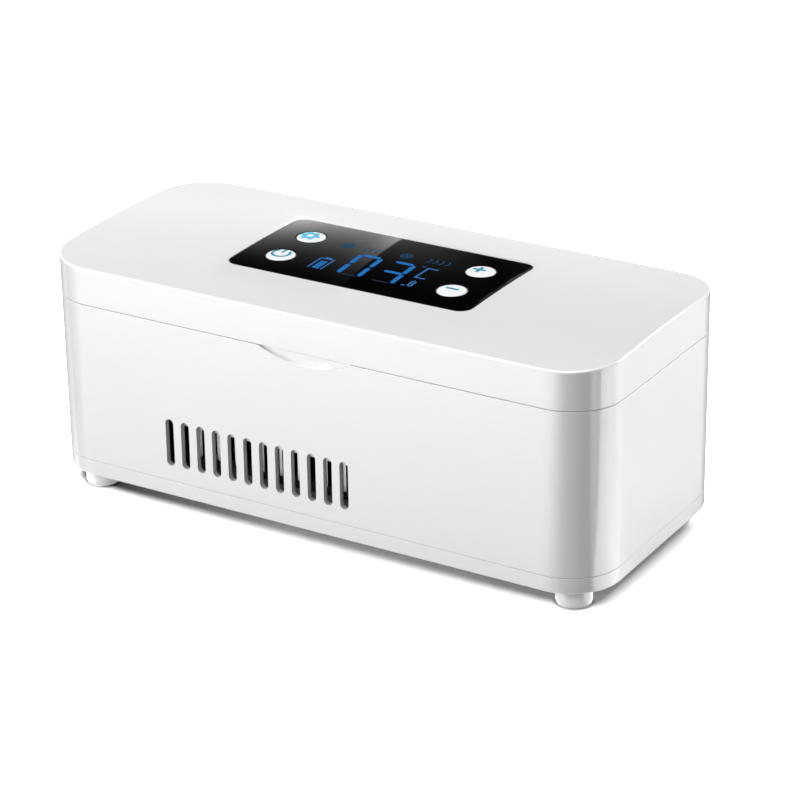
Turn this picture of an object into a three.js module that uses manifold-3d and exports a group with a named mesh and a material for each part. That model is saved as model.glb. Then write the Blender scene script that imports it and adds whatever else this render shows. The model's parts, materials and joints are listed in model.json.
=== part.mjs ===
// Portable insulin cooling case: a small thermoelectric refrigerator with a hinged lid.
// Units are millimetres. X runs along the case, -Y is the front, +Z is up.
// The origin lies on the surface that the feet stand on, under the middle of the case.

import * as THREE from "three";
import { mergeVertices } from "three/addons/utils/BufferGeometryUtils.js";
import Module from "manifold-3d";

const wasm = await Module();
wasm.setup();

// Overall size
const caseLength = 208; // along X
const caseDepth = 92; // along Y
const cornerRadius = 18; // upright corners of the case
const footHeight = 7.8;
const coverHeight = 5.4; // base cover, from its underside to the lower seam
const bodyHeight = 56.6; // between the lower seam and the lid seam
const lidHeight = 13; // from the lid seam to the long top edges
const lidCrown = 1.8; // rise of the lid top above those edges
const lidEdgeRadius = 1.2; // round along the lid's top edge
const coverEdgeRadius = 1; // round along the base cover's bottom edge

// Fits
const gap = 0.3; // between two pieces that touch
const overcut = 1; // how far a cut runs past the face that it opens
const weld = 0.5; // how far one fused form reaches into another

// Fineness of round forms
const cornerSteps = 8; // straight steps in a quarter round of the case outline
const smallArcSteps = 4; // straight steps in one arc of a smaller outline
const crownSteps = 4; // steps across the straight end of a crowned top
const edgeSteps = 2; // steps in a rounded edge
const roundSides = 12; // sides of a small round piece
const wideSides = 20; // sides of a wide round piece

// Body shell
const wall = 2;
const ledgeWidth = 2; // shelf inside the shell that carries the deck
const ledgeHeight = 3;
const bossRadius = 3.5; // posts that take the base screws
const bossWeb = 2; // thickness of the rib from a post to its corner
const notchWidth = 35; // thumb notch under the front edge of the lid
const notchHeight = 4;
const notchDepth = 1.1;

// Ventilation slots, in one row on the front and one on the back
const ventX = -19.95; // middle of each row
const ventCount = 12;
const ventPitch = 6.14;
const ventWidth = 3.2;
const ventHeight = 16.8;
const ventRise = 5.6; // lower end of the slots above the lower seam

// Base cover, feet and their screws
const coverFloor = 2.2;
const lipWidth = 1.2; // tongue that locates the cover inside the shell
const lipHeight = 2;
const grilleRadius = 22; // round field of intake slots under the fan
const grilleSlot = 2.4;
const grillePitch = 4.8;
const footRadius = 5.9;
const footInsetX = 13.1; // foot centre to the end of the case
const footInsetY = 11.8; // foot centre to the front or back of the case
const footEdgeRadius = 1.5;
const footRecess = 3.2; // depth of the screw recess in a foot
const baseScrewRadius = 1.3;
const baseScrewHead = 3;
const baseScrewHeadHeight = 2;
const baseScrewReach = 12; // shank length inside its post

// Cooler stack, from the base cover upwards
const coolerX = -16.5; // middle of the fan, the heat sink and the cold block
const fanSize = 50;
const fanHeight = 10.5;
const fanCorner = 3;
const fanBore = 23.4;
const fanPlate = 1.6; // motor plate and struts
const fanStrut = 2.4;
const fanHub = 12;
const fanHubWall = 1.5;
const fanRunningGap = 0.6;
const fanBlades = 7;
const fanBladeThickness = 0.9;
const fanBladeBend = 9; // radius that a blade is curved to
const fanBladeFrom = 100; // degrees, where the blade's curve starts
const fanBladeTo = 145; // degrees, where it ends
const fanShaft = 1.2;
const fanShaftBoss = 3;
const sinkDepth = 78;
const sinkBase = 3;
const finHeight = 9.7;
const finThickness = 1;
const finPitch = 3.5;
const finCount = 22;
const peltierSize = 40;
const peltierHeight = 3.6;
const coldSize = 44;
const coldHeight = 4.5;

// Medicine chamber
const foamEnd = 8; // insulation at each end of the tray
const foamSide = 12; // insulation along each side of the tray
const trayWall = 1;
const trayCorner = 8;
const deckThickness = 2;
const probeRadius = 1.5;
const probeLength = 8;
const probeOffset = 16; // probe beyond the edge of the cold block

// Power
const cellRadius = 9.25;
const cellLength = 65;
const cellTerminal = 2.8;
const cellTerminalHeight = 1;
const cellSpacing = 20.5;
const holderWall = 2;
const holderRim = 7; // height of the cradle's sides above the cells' underside
const boardThickness = 1.6;
const mainBoardLength = 30;
const boardStandoff = 4;
const coilRadius = 5.2; // power coil on the main board
const coilHeight = 5;
const capacitorRadius = 3.2;
const capacitorHeight = 9;
const capacitorPitch = 9;
const chipSize = 8;
const chipHeight = 1.2;
const plugWidth = 7; // wire connector on the main board
const plugLength = 14;
const plugHeight = 6;
const partSpread = 7; // components left and right of the board's middle line
const partRow = 12; // components in front of and behind the board's middle
const standoffRadius = 2.2;
const standoffInset = 4;
const jackRadius = 3.6;
const jackFlange = 5.5;
const jackFlangeThickness = 1.6;
const jackBodyLength = 11;
const jackBore = 2.6;
const jackPin = 0.9;
const jackRise = 11; // jack axis above the lower seam
const jackDepth = 9; // depth of the socket

// Hinge
const lidOpenAngle = 100; // degrees, the furthest that the lid swings
const knuckleRadius = 2.4;
const knuckleInset = 0.1; // knuckle inside the back face
const knuckleLength = 8; // each of the two knuckles on the body
const lidKnuckleLength = 12;
const hingeEndInset = 44; // middle of each hinge from the end of the case
const pinRadius = 1;
const troughClearance = 0.4; // lid relief beyond the swing of its own back edge
const troughWall = 1.8;
const knuckleWeb = 2.2;
const knuckleSlot = 1; // extra room round a lid knuckle in the body
const deckClearance = 0.4; // between the knuckles and the deck

// Lid
const lidWall = 2.2;
const lidTop = 3.2;
const linerThickness = 1.8;
const linerRecess = 0.25; // liner above the lid's lower edge
const lidFoamInset = 14;
const lidFoamHeight = 4;
const linerScrewRadius = 1;
const linerScrewHead = 2.2;
const linerScrewHeadHeight = 1;
const linerScrewLength = 6;
const linerBossRadius = 2.5;
const linerScrewInsetX = 9;
const linerScrewFront = 11; // front screws from the front face
const linerScrewBack = 13; // back screws from the back face
const gasketOffset = 3; // gasket outside the edge of the chamber
const gasketWidth = 3;
const gasketGroove = 0.8;
const magnetRadius = 3;
const magnetInset = 7.2; // magnet centre from the front face
const magnetEndInset = 34; // magnet centre from the end of the case

// Display and buttons
const lensLength = 91.4;
const lensDepth = 47;
const lensCorner = 4.5;
const lensX = -0.6;
const lensY = 2;
const lensThickness = 1.4;
const lensGap = 0.2; // round the lens and under it
const lensLedge = 3;
const lcdEndGap = 2.3; // display module to the flange of a button
const lcdDepth = 31;
const lcdThickness = 2.2;
const lcdCorner = 1;
const buttonRadius = 5.1;
const buttonEndInset = 13.2; // button centre from the end of the lens
const buttonBackY = 11.2;
const buttonFrontY = -7.5;
const buttonFlange = 6.2;
const buttonFlangeThickness = 0.6;
const buttonEdge = 0.25;
const switchSize = 4.4;
const switchHeight = 0.8;
const postRadius = 2.2; // posts that carry the control board
const postOffset = 4; // post centre beyond the end of the lens
const postSpread = 12; // post centre from the middle line of the lens
const stakeRadius = 0.9; // pin on each post through the board
const controlBoardEdge = 3.5; // board beyond its posts
const controlBoardDepth = 38;

// Heights and places that follow from the sizes above
const halfLength = caseLength / 2;
const halfDepth = caseDepth / 2;
const coverBottom = footHeight;
const floorTop = coverBottom + coverFloor;
const lowerSeam = coverBottom + coverHeight;
const lidSeam = lowerSeam + bodyHeight;
const lidEdgeTop = lidSeam + lidHeight;
const coverTop = lowerSeam - gap / 2;
const shellBottom = lowerSeam + gap / 2;
const shellTop = lidSeam - gap / 2;
const lidBottom = lidSeam + gap / 2;
const lipTop = lowerSeam + lipHeight;

const hingeInset = knuckleRadius + knuckleInset;
const hingeY = halfDepth - hingeInset;
const hingeZ = lidSeam;
const hingeX = halfLength - hingeEndInset;
const halfSwing = THREE.MathUtils.degToRad(lidOpenAngle / 2);
const troughRadius = hingeInset / Math.cos(halfSwing) + troughClearance;
const deckTop = hingeZ - knuckleRadius - deckClearance;
const deckBottom = deckTop - deckThickness;
const ledgeTop = deckBottom - gap;
const ledgeBottom = ledgeTop - ledgeHeight;

const sinkWidth = finPitch * (finCount - 1) + finThickness;
const fanBottom = floorTop + gap;
const fanTop = fanBottom + fanHeight;
const finBottom = fanTop + gap;
const sinkTop = finBottom + finHeight + sinkBase;
const peltierBottom = sinkTop + gap;
const coldBottom = peltierBottom + peltierHeight + gap;
const trayBottom = coldBottom + coldHeight + gap;
const foamBottom = sinkTop + gap;
const foamTop = deckBottom - gap;
const foamInset = wall + ledgeWidth + gap;
const pocketInsetX = foamInset + foamEnd;
const pocketInsetY = foamInset + foamSide;
const trayLength = caseLength - 2 * (pocketInsetX + gap);
const trayDepth = caseDepth - 2 * (pocketInsetY + gap);
const chamberLength = trayLength - 2 * trayWall;
const chamberDepth = trayDepth - 2 * trayWall;
const chamberCorner = trayCorner - trayWall;

const footX = halfLength - footInsetX;
const footY = halfDepth - footInsetY;
const bossBottom = floorTop + gap;
const bossTop = foamBottom - gap;
const screwHole = baseScrewRadius + gap;

const crownRadius = (halfDepth ** 2 + lidCrown ** 2) / (2 * lidCrown);
const linerBottom = lidBottom + linerRecess;
const linerTop = linerBottom + linerThickness;
const lcdReach = Math.abs(lensY) + lcdDepth / 2;
const lcdTop = crownHeight(lcdReach) - lensThickness - gap;
const lcdBottom = lcdTop - lcdThickness;
const controlBoardTop = lcdBottom - gap;
const controlBoardBottom = controlBoardTop - boardThickness;
const postX = lensLength / 2 + postOffset;
const buttonSpread = lensLength / 2 - buttonEndInset;
const lcdLength = 2 * (buttonSpread - buttonFlange - lcdEndGap);
const buttonLeftX = lensX - buttonSpread;
const buttonRightX = lensX + buttonSpread;
const magnetX = halfLength - magnetEndInset;
const magnetY = magnetInset - halfDepth;

// Height of the lid's top surface at a distance y from the middle of the case
function crownHeight(y) {
  const drop = crownRadius - Math.sqrt(crownRadius ** 2 - y ** 2);
  return lidEdgeTop + lidCrown - drop;
}

// Outlines

function roundedRectangle(length, depth, radius, centreX = 0, centreY = 0) {
  const right = length / 2 - radius;
  const back = depth / 2 - radius;
  const outline = new THREE.Shape();
  outline.absarc(centreX + right, centreY + back, radius, 0, Math.PI / 2);
  outline.absarc(centreX - right, centreY + back, radius, Math.PI / 2, Math.PI);
  outline.absarc(centreX - right, centreY - back, radius, Math.PI, 1.5 * Math.PI);
  outline.absarc(centreX + right, centreY - back, radius, 1.5 * Math.PI, 2 * Math.PI);
  outline.closePath();
  return outline;
}

// The outline of the case, drawn in by an even distance
function caseOutline(inset) {
  return roundedRectangle(caseLength - 2 * inset, caseDepth - 2 * inset, cornerRadius - inset);
}

// A slot with full-round ends that runs along the second axis of its outline
function slotOutline(width, length, centreX, centreY) {
  const radius = width / 2;
  const reach = length / 2 - radius;
  const outline = new THREE.Shape();
  outline.absarc(centreX, centreY + reach, radius, 0, Math.PI);
  outline.absarc(centreX, centreY - reach, radius, Math.PI, 2 * Math.PI);
  outline.closePath();
  return outline;
}

// Solids

function solid(geometry) {
  const bare = geometry.clone();
  bare.deleteAttribute("normal");
  bare.deleteAttribute("uv");
  const merged = mergeVertices(bare, 1e-4);
  const mesh = new wasm.Mesh({
    numProp: 3,
    vertProperties: new Float32Array(merged.attributes.position.array),
    triVerts: new Uint32Array(merged.index.array),
  });
  return new wasm.Manifold(mesh);
}

// An arc in an outline is drawn in twice as many steps as curveSegments says.
function extrusion(outline, depth, arcSteps) {
  const options = { depth, bevelEnabled: false, curveSegments: arcSteps / 2 };
  return new THREE.ExtrudeGeometry(outline, options);
}

function prism(outline, bottom, top, arcSteps = cornerSteps) {
  return solid(extrusion(outline, top - bottom, arcSteps).translate(0, 0, bottom));
}

// An outline drawn in X and Z, extruded along Y
function prismAlongY(outline, front, back, arcSteps = smallArcSteps) {
  const geometry = extrusion(outline, back - front, arcSteps);
  return solid(geometry.rotateX(Math.PI / 2).translate(0, back, 0));
}

// An outline drawn in Y and Z, extruded along X
function prismAlongX(outline, left, right, arcSteps = smallArcSteps) {
  const geometry = extrusion(outline, right - left, arcSteps);
  const turn = new THREE.Matrix4().makeBasis(
    new THREE.Vector3(0, 1, 0),
    new THREE.Vector3(0, 0, 1),
    new THREE.Vector3(1, 0, 0),
  );
  return solid(geometry.applyMatrix4(turn).translate(left, 0, 0));
}

function box(left, right, front, back, bottom, top) {
  const geometry = new THREE.BoxGeometry(right - left, back - front, top - bottom);
  geometry.translate((left + right) / 2, (front + back) / 2, (bottom + top) / 2);
  return solid(geometry);
}

function upright(radius, bottom, top, x = 0, y = 0, sides = roundSides) {
  const geometry = new THREE.CylinderGeometry(radius, radius, top - bottom, sides);
  return solid(geometry.rotateX(Math.PI / 2).translate(x, y, (bottom + top) / 2));
}

function rodAlongX(radius, left, right, y, z, sides = roundSides) {
  const geometry = new THREE.CylinderGeometry(radius, radius, right - left, sides);
  return solid(geometry.rotateZ(Math.PI / 2).translate((left + right) / 2, y, z));
}

function rodAlongY(radius, front, back, x, z, sides = roundSides) {
  const geometry = new THREE.CylinderGeometry(radius, radius, back - front, sides);
  return solid(geometry.translate(x, (front + back) / 2, z));
}

// A turned piece on the Z axis, from pairs of radius and height that run upwards on its outside
function turned(profile, sides = roundSides) {
  const points = profile.map(([radius, height]) => new THREE.Vector2(radius, height));
  return solid(new THREE.LatheGeometry(points, sides).rotateX(Math.PI / 2));
}

// A block with a rounded outline. Its top follows topAt(y), and its edges may be rounded over.
function crownedBlock({ length, depth, radius, centreY = 0, bottom, topAt, topEdge, bottomEdge }) {
  const rings = [];
  for (let step = 0; step <= edgeSteps; step += 1) {
    const turn = ((Math.PI / 2) * step) / edgeSteps;
    const rise = bottomEdge * (1 - Math.cos(turn));
    rings.push({ inset: bottomEdge * (1 - Math.sin(turn)), heightAt: () => bottom + rise });
    if (bottomEdge === 0) break;
  }
  for (let step = 0; step <= edgeSteps; step += 1) {
    const turn = ((Math.PI / 2) * step) / edgeSteps;
    const drop = topEdge * (1 - Math.sin(turn));
    rings.push({ inset: topEdge * (1 - Math.cos(turn)), heightAt: (y) => topAt(y) - drop });
    if (topEdge === 0) break;
  }

  const positions = [];
  let half = [];
  for (const ring of rings) {
    half = halfOutline(length - 2 * ring.inset, depth - 2 * ring.inset, radius - ring.inset);
    const loop = [...half, ...half.map(([x, y]) => [-x, y]).reverse()];
    for (const [x, y] of loop) {
      positions.push(x, y + centreY, ring.heightAt(y + centreY));
    }
  }

  const count = 2 * half.length;
  const last = count * (rings.length - 1);
  const index = [];
  for (let ring = 0; ring < last; ring += count) {
    for (let i = 0; i < count; i += 1) {
      const next = (i + 1) % count;
      index.push(ring + i, ring + next, ring + count + next);
      index.push(ring + i, ring + count + next, ring + count + i);
    }
  }
  for (let i = 0; i < half.length - 1; i += 1) {
    const mirror = count - 1 - i;
    index.push(last + mirror, last + i, last + i + 1, last + mirror, last + i + 1, last + mirror - 1);
    index.push(mirror, i + 1, i, mirror, mirror - 1, i + 1);
  }
  const geometry = new THREE.BufferGeometry();
  geometry.setAttribute("position", new THREE.Float32BufferAttribute(positions, 3));
  geometry.setIndex(index);
  return solid(geometry);
}

// The right half of a rounded rectangle, from its front edge to its back edge
function halfOutline(length, depth, radius) {
  const right = length / 2 - radius;
  const back = depth / 2 - radius;
  const points = [];
  for (let step = 0; step <= cornerSteps; step += 1) {
    const turn = (Math.PI / 2) * (step / cornerSteps - 1);
    points.push([right + radius * Math.cos(turn), radius * Math.sin(turn) - back]);
  }
  for (let step = 1; step < crownSteps; step += 1) {
    points.push([length / 2, back * ((2 * step) / crownSteps - 1)]);
  }
  for (let step = 0; step <= cornerSteps; step += 1) {
    const turn = ((Math.PI / 2) * step) / cornerSteps;
    points.push([right + radius * Math.cos(turn), radius * Math.sin(turn) + back]);
  }
  return points;
}

function join(solids) {
  return solids.reduce((whole, piece) => whole.add(piece));
}

function cut(whole, cutters) {
  return cutters.reduce((left, cutter) => left.subtract(cutter), whole);
}

// Materials

function finish(color, roughness, metalness = 0) {
  return new THREE.MeshStandardMaterial({ color, roughness, metalness });
}

const glossWhite = finish(0xf1f2f3, 0.16);
const satinWhite = finish(0xe9ebec, 0.4);
const buttonWhite = finish(0xf4f6f8, 0.28);
const lensBlack = finish(0x0b0c0f, 0.06);
const displayGrey = finish(0x23272d, 0.3);
const boardGreen = finish(0x1f5a3a, 0.5);
const foamGrey = finish(0xc9cdd0, 0.9);
const rubberGrey = finish(0x8b9196, 0.75);
const blackPlastic = finish(0x17181a, 0.5);
const brushedAluminium = finish(0xc4c8cc, 0.35, 1);
const ceramicWhite = finish(0xe4e2dc, 0.6);
const steel = finish(0xb3b6ba, 0.28, 1);
const cellSleeve = finish(0x2d6fb0, 0.45);
const magnetNickel = finish(0xa9acb0, 0.22, 1);

function piece(parent, name, shape, material, x = 0, y = 0, z = 0) {
  const found = shape.getMesh();
  const positions = [];
  for (let i = 0; i < found.numVert; i += 1) {
    const start = i * found.numProp;
    positions.push(...found.vertProperties.subarray(start, start + 3));
  }
  const geometry = new THREE.BufferGeometry();
  geometry.setAttribute("position", new THREE.Float32BufferAttribute(positions, 3));
  geometry.setIndex([...found.triVerts]);
  geometry.computeVertexNormals();
  const mesh = new THREE.Mesh(geometry, material);
  mesh.name = name;
  mesh.position.set(x, y, z);
  parent.add(mesh);
}

// Places that come in sets

const corners = [
  { name: "front_left", x: -1, y: -1 },
  { name: "front_right", x: 1, y: -1 },
  { name: "rear_left", x: -1, y: 1 },
  { name: "rear_right", x: 1, y: 1 },
];
const sides = [
  { name: "left", x: -1 },
  { name: "right", x: 1 },
];
const buttons = [
  { name: "settings", x: buttonLeftX, y: buttonBackY },
  { name: "power", x: buttonLeftX, y: buttonFrontY },
  { name: "plus", x: buttonRightX, y: buttonBackY },
  { name: "minus", x: buttonRightX, y: buttonFrontY },
];
const hingeCentres = [-hingeX, hingeX];

// Ranges along X of the knuckles of one hinge
function knuckleRanges(centre) {
  const inner = lidKnuckleLength / 2;
  const outer = inner + gap + knuckleLength;
  return {
    lid: [centre - inner, centre + inner],
    body: [
      [centre - outer, centre - inner - gap],
      [centre + inner + gap, centre + outer],
    ],
    pin: [-outer, outer],
  };
}

const pinBore = pinRadius + gap;
const boardX = (coolerX - sinkWidth / 2 - (halfLength - wall)) / 2;
const jackZ = lowerSeam + jackRise;

// Main shell

function screwPost(corner) {
  const x = corner.x * footX;
  const y = corner.y * footY;
  const post = upright(bossRadius, bossBottom, bossTop, x, y);
  const rib = new THREE.BoxGeometry(2 * cornerRadius, bossWeb, bossTop - lipTop - gap);
  rib.translate(cornerRadius, 0, (bossTop + lipTop + gap) / 2);
  rib.rotateZ(Math.atan2(corner.y, corner.x)).translate(x, y, 0);
  const ribInside = solid(rib).intersect(prism(caseOutline(wall / 2), shellBottom, bossTop));
  return post.add(ribInside);
}

function ventCutters(front, back) {
  const first = ventX - (ventPitch * (ventCount - 1)) / 2;
  const middle = lowerSeam + ventRise + ventHeight / 2;
  return Array.from({ length: ventCount }, (unused, i) =>
    prismAlongY(slotOutline(ventWidth, ventHeight, first + ventPitch * i, middle), front, back),
  );
}

function thumbNotch() {
  const halfWidth = notchWidth / 2;
  const radius = (halfWidth ** 2 + notchHeight ** 2) / (2 * notchHeight);
  const centre = shellTop - notchHeight + radius;
  const turn = Math.asin(halfWidth / radius);
  const outline = new THREE.Shape();
  outline.absarc(0, centre, radius, 1.5 * Math.PI - turn, 1.5 * Math.PI + turn);
  outline.lineTo(halfWidth, shellTop + overcut);
  outline.lineTo(-halfWidth, shellTop + overcut);
  outline.closePath();
  return prismAlongY(outline, -halfDepth - overcut, notchDepth - halfDepth, 2 * cornerSteps);
}

function makeMainShell() {
  const outside = prism(caseOutline(0), shellBottom, shellTop);
  let shell = cut(outside, [
    prism(caseOutline(wall), shellBottom - overcut, ledgeBottom),
    prism(caseOutline(wall + ledgeWidth), ledgeBottom - overcut, ledgeTop + overcut),
    prism(caseOutline(wall), ledgeTop, shellTop + overcut),
    ...ventCutters(-halfDepth - overcut, wall + overcut - halfDepth),
    ...ventCutters(halfDepth - wall - overcut, halfDepth + overcut),
    thumbNotch(),
    rodAlongY(jackRadius + gap, halfDepth - wall - overcut, halfDepth + overcut, boardX, jackZ),
  ]);
  for (const corner of corners) {
    const x = corner.x * footX;
    const y = corner.y * footY;
    const boreTop = bossBottom + baseScrewReach + overcut;
    shell = shell.add(screwPost(corner));
    shell = shell.subtract(upright(screwHole, bossBottom - overcut, boreTop, x, y));
  }
  for (const centre of hingeCentres) {
    const ranges = knuckleRanges(centre);
    const [left, right] = ranges.lid;
    shell = shell.subtract(rodAlongX(knuckleRadius + knuckleSlot, left - gap, right + gap, hingeY, hingeZ));
    for (const [from, to] of ranges.body) {
      shell = shell.add(rodAlongX(knuckleRadius, from, to, hingeY, hingeZ));
      shell = shell.subtract(rodAlongX(pinBore, from - gap, to + gap, hingeY, hingeZ));
    }
  }
  return shell;
}

// Base cover

function grilleCutters() {
  const rows = Math.floor(grilleRadius / grillePitch);
  const cutters = [];
  for (let row = -rows; row <= rows; row += 1) {
    const offset = row * grillePitch;
    const length = 2 * Math.sqrt(grilleRadius ** 2 - offset ** 2);
    if (length > 2 * grilleSlot) {
      const outline = slotOutline(grilleSlot, length, coolerX + offset, 0);
      cutters.push(prism(outline, coverBottom - overcut, floorTop + overcut, smallArcSteps));
    }
  }
  return cutters;
}

const mainBoardDepth = 2 * (footY - bossRadius - overcut);

function standoffPlaces() {
  const reachX = mainBoardLength / 2 - standoffInset;
  const reachY = mainBoardDepth / 2 - standoffInset;
  return corners.map((corner) => [boardX + corner.x * reachX, corner.y * reachY]);
}

function makeBaseCover() {
  const lipOutside = wall + gap;
  const lipInside = lipOutside + lipWidth;
  const tub = crownedBlock({
    length: caseLength,
    depth: caseDepth,
    radius: cornerRadius,
    bottom: coverBottom,
    topAt: () => coverTop,
    topEdge: 0,
    bottomEdge: coverEdgeRadius,
  });
  const lip = prism(caseOutline(lipOutside), coverTop - weld, lipTop);
  const standoffs = standoffPlaces().map(([x, y]) =>
    upright(standoffRadius, floorTop - weld, floorTop + boardStandoff, x, y),
  );
  const hollow = prism(caseOutline(lipInside), floorTop, lipTop + overcut);
  const holes = corners.map((corner) =>
    upright(screwHole, coverBottom - overcut, floorTop + overcut, corner.x * footX, corner.y * footY),
  );
  const floor = cut(tub.add(lip), [hollow, ...holes, ...grilleCutters()]);
  return join([floor, ...standoffs]);
}

// Feet and base screws, both drawn on their own axis

function makeFoot() {
  const top = footHeight - gap;
  const recess = baseScrewHead + gap;
  const profile = [
    [screwHole, footRecess],
    [recess, footRecess],
    [recess, 0],
  ];
  for (let step = 0; step <= edgeSteps; step += 1) {
    const turn = ((Math.PI / 2) * step) / edgeSteps;
    const radius = footRadius - footEdgeRadius * (1 - Math.sin(turn));
    profile.push([radius, footEdgeRadius * (1 - Math.cos(turn))]);
  }
  profile.push([footRadius, top], [screwHole, top], [screwHole, footRecess]);
  return turned(profile, wideSides);
}

function makeScrew(radius, headRadius, headHeight, length) {
  return turned([
    [0, 0],
    [headRadius, 0],
    [headRadius, headHeight],
    [radius, headHeight],
    [radius, headHeight + length],
    [0, headHeight + length],
  ]);
}

// Cooler

function makeFanFrame() {
  const plateTop = fanBottom + fanPlate;
  const frame = prism(roundedRectangle(fanSize, fanSize, fanCorner), fanBottom, fanTop, smallArcSteps);
  const ring = frame.subtract(upright(fanBore, fanBottom - overcut, fanTop + overcut, 0, 0, wideSides));
  const reach = fanBore + weld;
  const half = fanStrut / 2;
  return join([
    ring,
    upright(fanHub, fanBottom, plateTop, 0, 0, wideSides),
    box(-reach, reach, -half, half, fanBottom, plateTop),
    box(-half, half, -reach, reach, fanBottom, plateTop),
    upright(fanShaft, plateTop - weld, fanTop - fanPlate - gap),
  ]);
}

function fanBlade() {
  const from = THREE.MathUtils.degToRad(fanBladeFrom);
  const to = THREE.MathUtils.degToRad(fanBladeTo);
  const inner = fanBladeBend - fanBladeThickness;
  const middle = (from + to) / 2;
  const centreY = -inner * Math.cos(middle);
  const centreZ = (fanBottom + fanTop + fanPlate) / 2 - inner * Math.sin(middle);
  const outline = new THREE.Shape();
  outline.absarc(centreY, centreZ, fanBladeBend, from, to);
  outline.absarc(centreY, centreZ, inner, to, from, true);
  outline.closePath();
  return prismAlongX(outline, fanHub - weld, fanBore);
}

function makeFanRotor() {
  const bottom = fanBottom + fanPlate + gap;
  const top = fanTop - gap;
  const cupTop = top - fanHubWall;
  const cup = cut(upright(fanHub, bottom, top, 0, 0, wideSides), [
    upright(fanHub - fanHubWall, bottom - overcut, cupTop, 0, 0, wideSides),
  ]);
  const boss = upright(fanShaftBoss, bottom + gap, cupTop + weld);
  const blade = fanBlade();
  const turnStep = 360 / fanBlades;
  const blades = Array.from({ length: fanBlades }, (unused, i) => blade.rotate([0, 0, turnStep * i]));
  const sweep = upright(fanBore - fanRunningGap, bottom, top, 0, 0, wideSides);
  const inside = upright(fanHub - fanHubWall / 2, bottom, top, 0, 0, wideSides);
  const trimmed = join(blades).intersect(sweep).subtract(inside);
  const shaftHole = upright(fanShaft + gap, bottom - overcut, fanTop - fanPlate);
  return join([cup, trimmed, boss]).subtract(shaftHole);
}

function makeHeatSink() {
  const half = sinkWidth / 2;
  const finTop = finBottom + finHeight;
  const outline = new THREE.Shape();
  outline.moveTo(coolerX - half, sinkTop);
  for (let fin = 0; fin < finCount; fin += 1) {
    const left = coolerX - half + finPitch * fin;
    const right = left + finThickness;
    if (fin > 0) outline.lineTo(left, finTop);
    outline.lineTo(left, finBottom);
    outline.lineTo(right, finBottom);
    if (fin < finCount - 1) outline.lineTo(right, finTop);
  }
  outline.lineTo(coolerX + half, sinkTop);
  outline.closePath();
  return prismAlongY(outline, -sinkDepth / 2, sinkDepth / 2);
}

function squarePlate(size, bottom, height) {
  const half = size / 2;
  return box(coolerX - half, coolerX + half, -half, half, bottom, bottom + height);
}

// Medicine chamber

const probeX = coolerX + coldSize / 2 + probeOffset;
const probeZ = trayBottom - gap - probeRadius;

function makeInsulation() {
  const outside = prism(caseOutline(foamInset), foamBottom, foamTop);
  const pocket = roundedRectangle(trayLength + 2 * gap, trayDepth + 2 * gap, trayCorner + gap);
  const half = coldSize / 2 + gap;
  const groove = probeRadius + gap;
  const grooveHalf = probeLength / 2 + gap;
  return cut(outside, [
    prism(pocket, trayBottom - gap, foamTop + overcut),
    box(coolerX - half, coolerX + half, -half, half, foamBottom - overcut, trayBottom),
    box(probeX - grooveHalf, probeX + grooveHalf, -groove, groove, probeZ - groove, trayBottom),
  ]);
}

function makeTray() {
  const outside = prism(roundedRectangle(trayLength, trayDepth, trayCorner), trayBottom, foamTop);
  const inside = roundedRectangle(chamberLength, chamberDepth, chamberCorner);
  return outside.subtract(prism(inside, trayBottom + trayWall, foamTop + overcut));
}

function makeDeck() {
  const plate = prism(caseOutline(wall + gap), deckBottom, deckTop);
  const opening = roundedRectangle(chamberLength, chamberDepth, chamberCorner);
  const pockets = sides.map((side) =>
    upright(magnetRadius + gap, deckBottom - overcut, deckTop + overcut, side.x * magnetX, magnetY),
  );
  return cut(plate, [prism(opening, deckBottom - overcut, deckTop + overcut), ...pockets]);
}

// Battery, main board and power jack

const cellRun = cellLength + cellTerminalHeight;
const holderX = (coolerX + sinkWidth / 2 + halfLength - wall) / 2;
const cellZ = floorTop + gap + holderWall + gap + cellRadius;

function makeBatteryHolder() {
  const halfRun = cellRun / 2 + gap;
  const half = halfRun + holderWall;
  const halfDeep = cellSpacing / 2 + cellRadius + gap + holderWall;
  const bottom = floorTop + gap;
  const top = bottom + holderWall + gap + holderRim;
  const cradle = box(holderX - half, holderX + half, -halfDeep, halfDeep, bottom, top);
  const troughs = [-1, 1].map((side) =>
    rodAlongX(
      cellRadius + gap,
      holderX - halfRun,
      holderX + halfRun,
      (side * cellSpacing) / 2,
      cellZ,
      wideSides,
    ),
  );
  return cut(cradle, troughs);
}

// A cell on its own axis, standing on its flat end
function makeCell() {
  const cell = turned(
    [
      [0, 0],
      [cellRadius, 0],
      [cellRadius, cellLength],
      [cellTerminal, cellLength],
      [cellTerminal, cellRun],
      [0, cellRun],
    ],
    wideSides,
  );
  return cell.rotate([0, 90, 0]);
}

function makeMainBoard() {
  const bottom = floorTop + boardStandoff + gap;
  const top = bottom + boardThickness;
  const halfX = mainBoardLength / 2;
  const halfY = mainBoardDepth / 2;
  const seat = top - weld;
  const leftX = boardX - partSpread;
  const rightX = boardX + partSpread;
  const blockOnBoard = (x, width, length, height) =>
    box(x - width / 2, x + width / 2, partRow - length / 2, partRow + length / 2, seat, top + height);
  return join([
    box(boardX - halfX, boardX + halfX, -halfY, halfY, bottom, top),
    upright(coilRadius, seat, top + coilHeight, leftX, -partRow),
    upright(capacitorRadius, seat, top + capacitorHeight, rightX, -partRow - capacitorPitch / 2),
    upright(capacitorRadius, seat, top + capacitorHeight, rightX, -partRow + capacitorPitch / 2),
    blockOnBoard(leftX, chipSize, chipSize, chipHeight),
    blockOnBoard(rightX, plugWidth, plugLength, plugHeight),
  ]);
}

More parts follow.
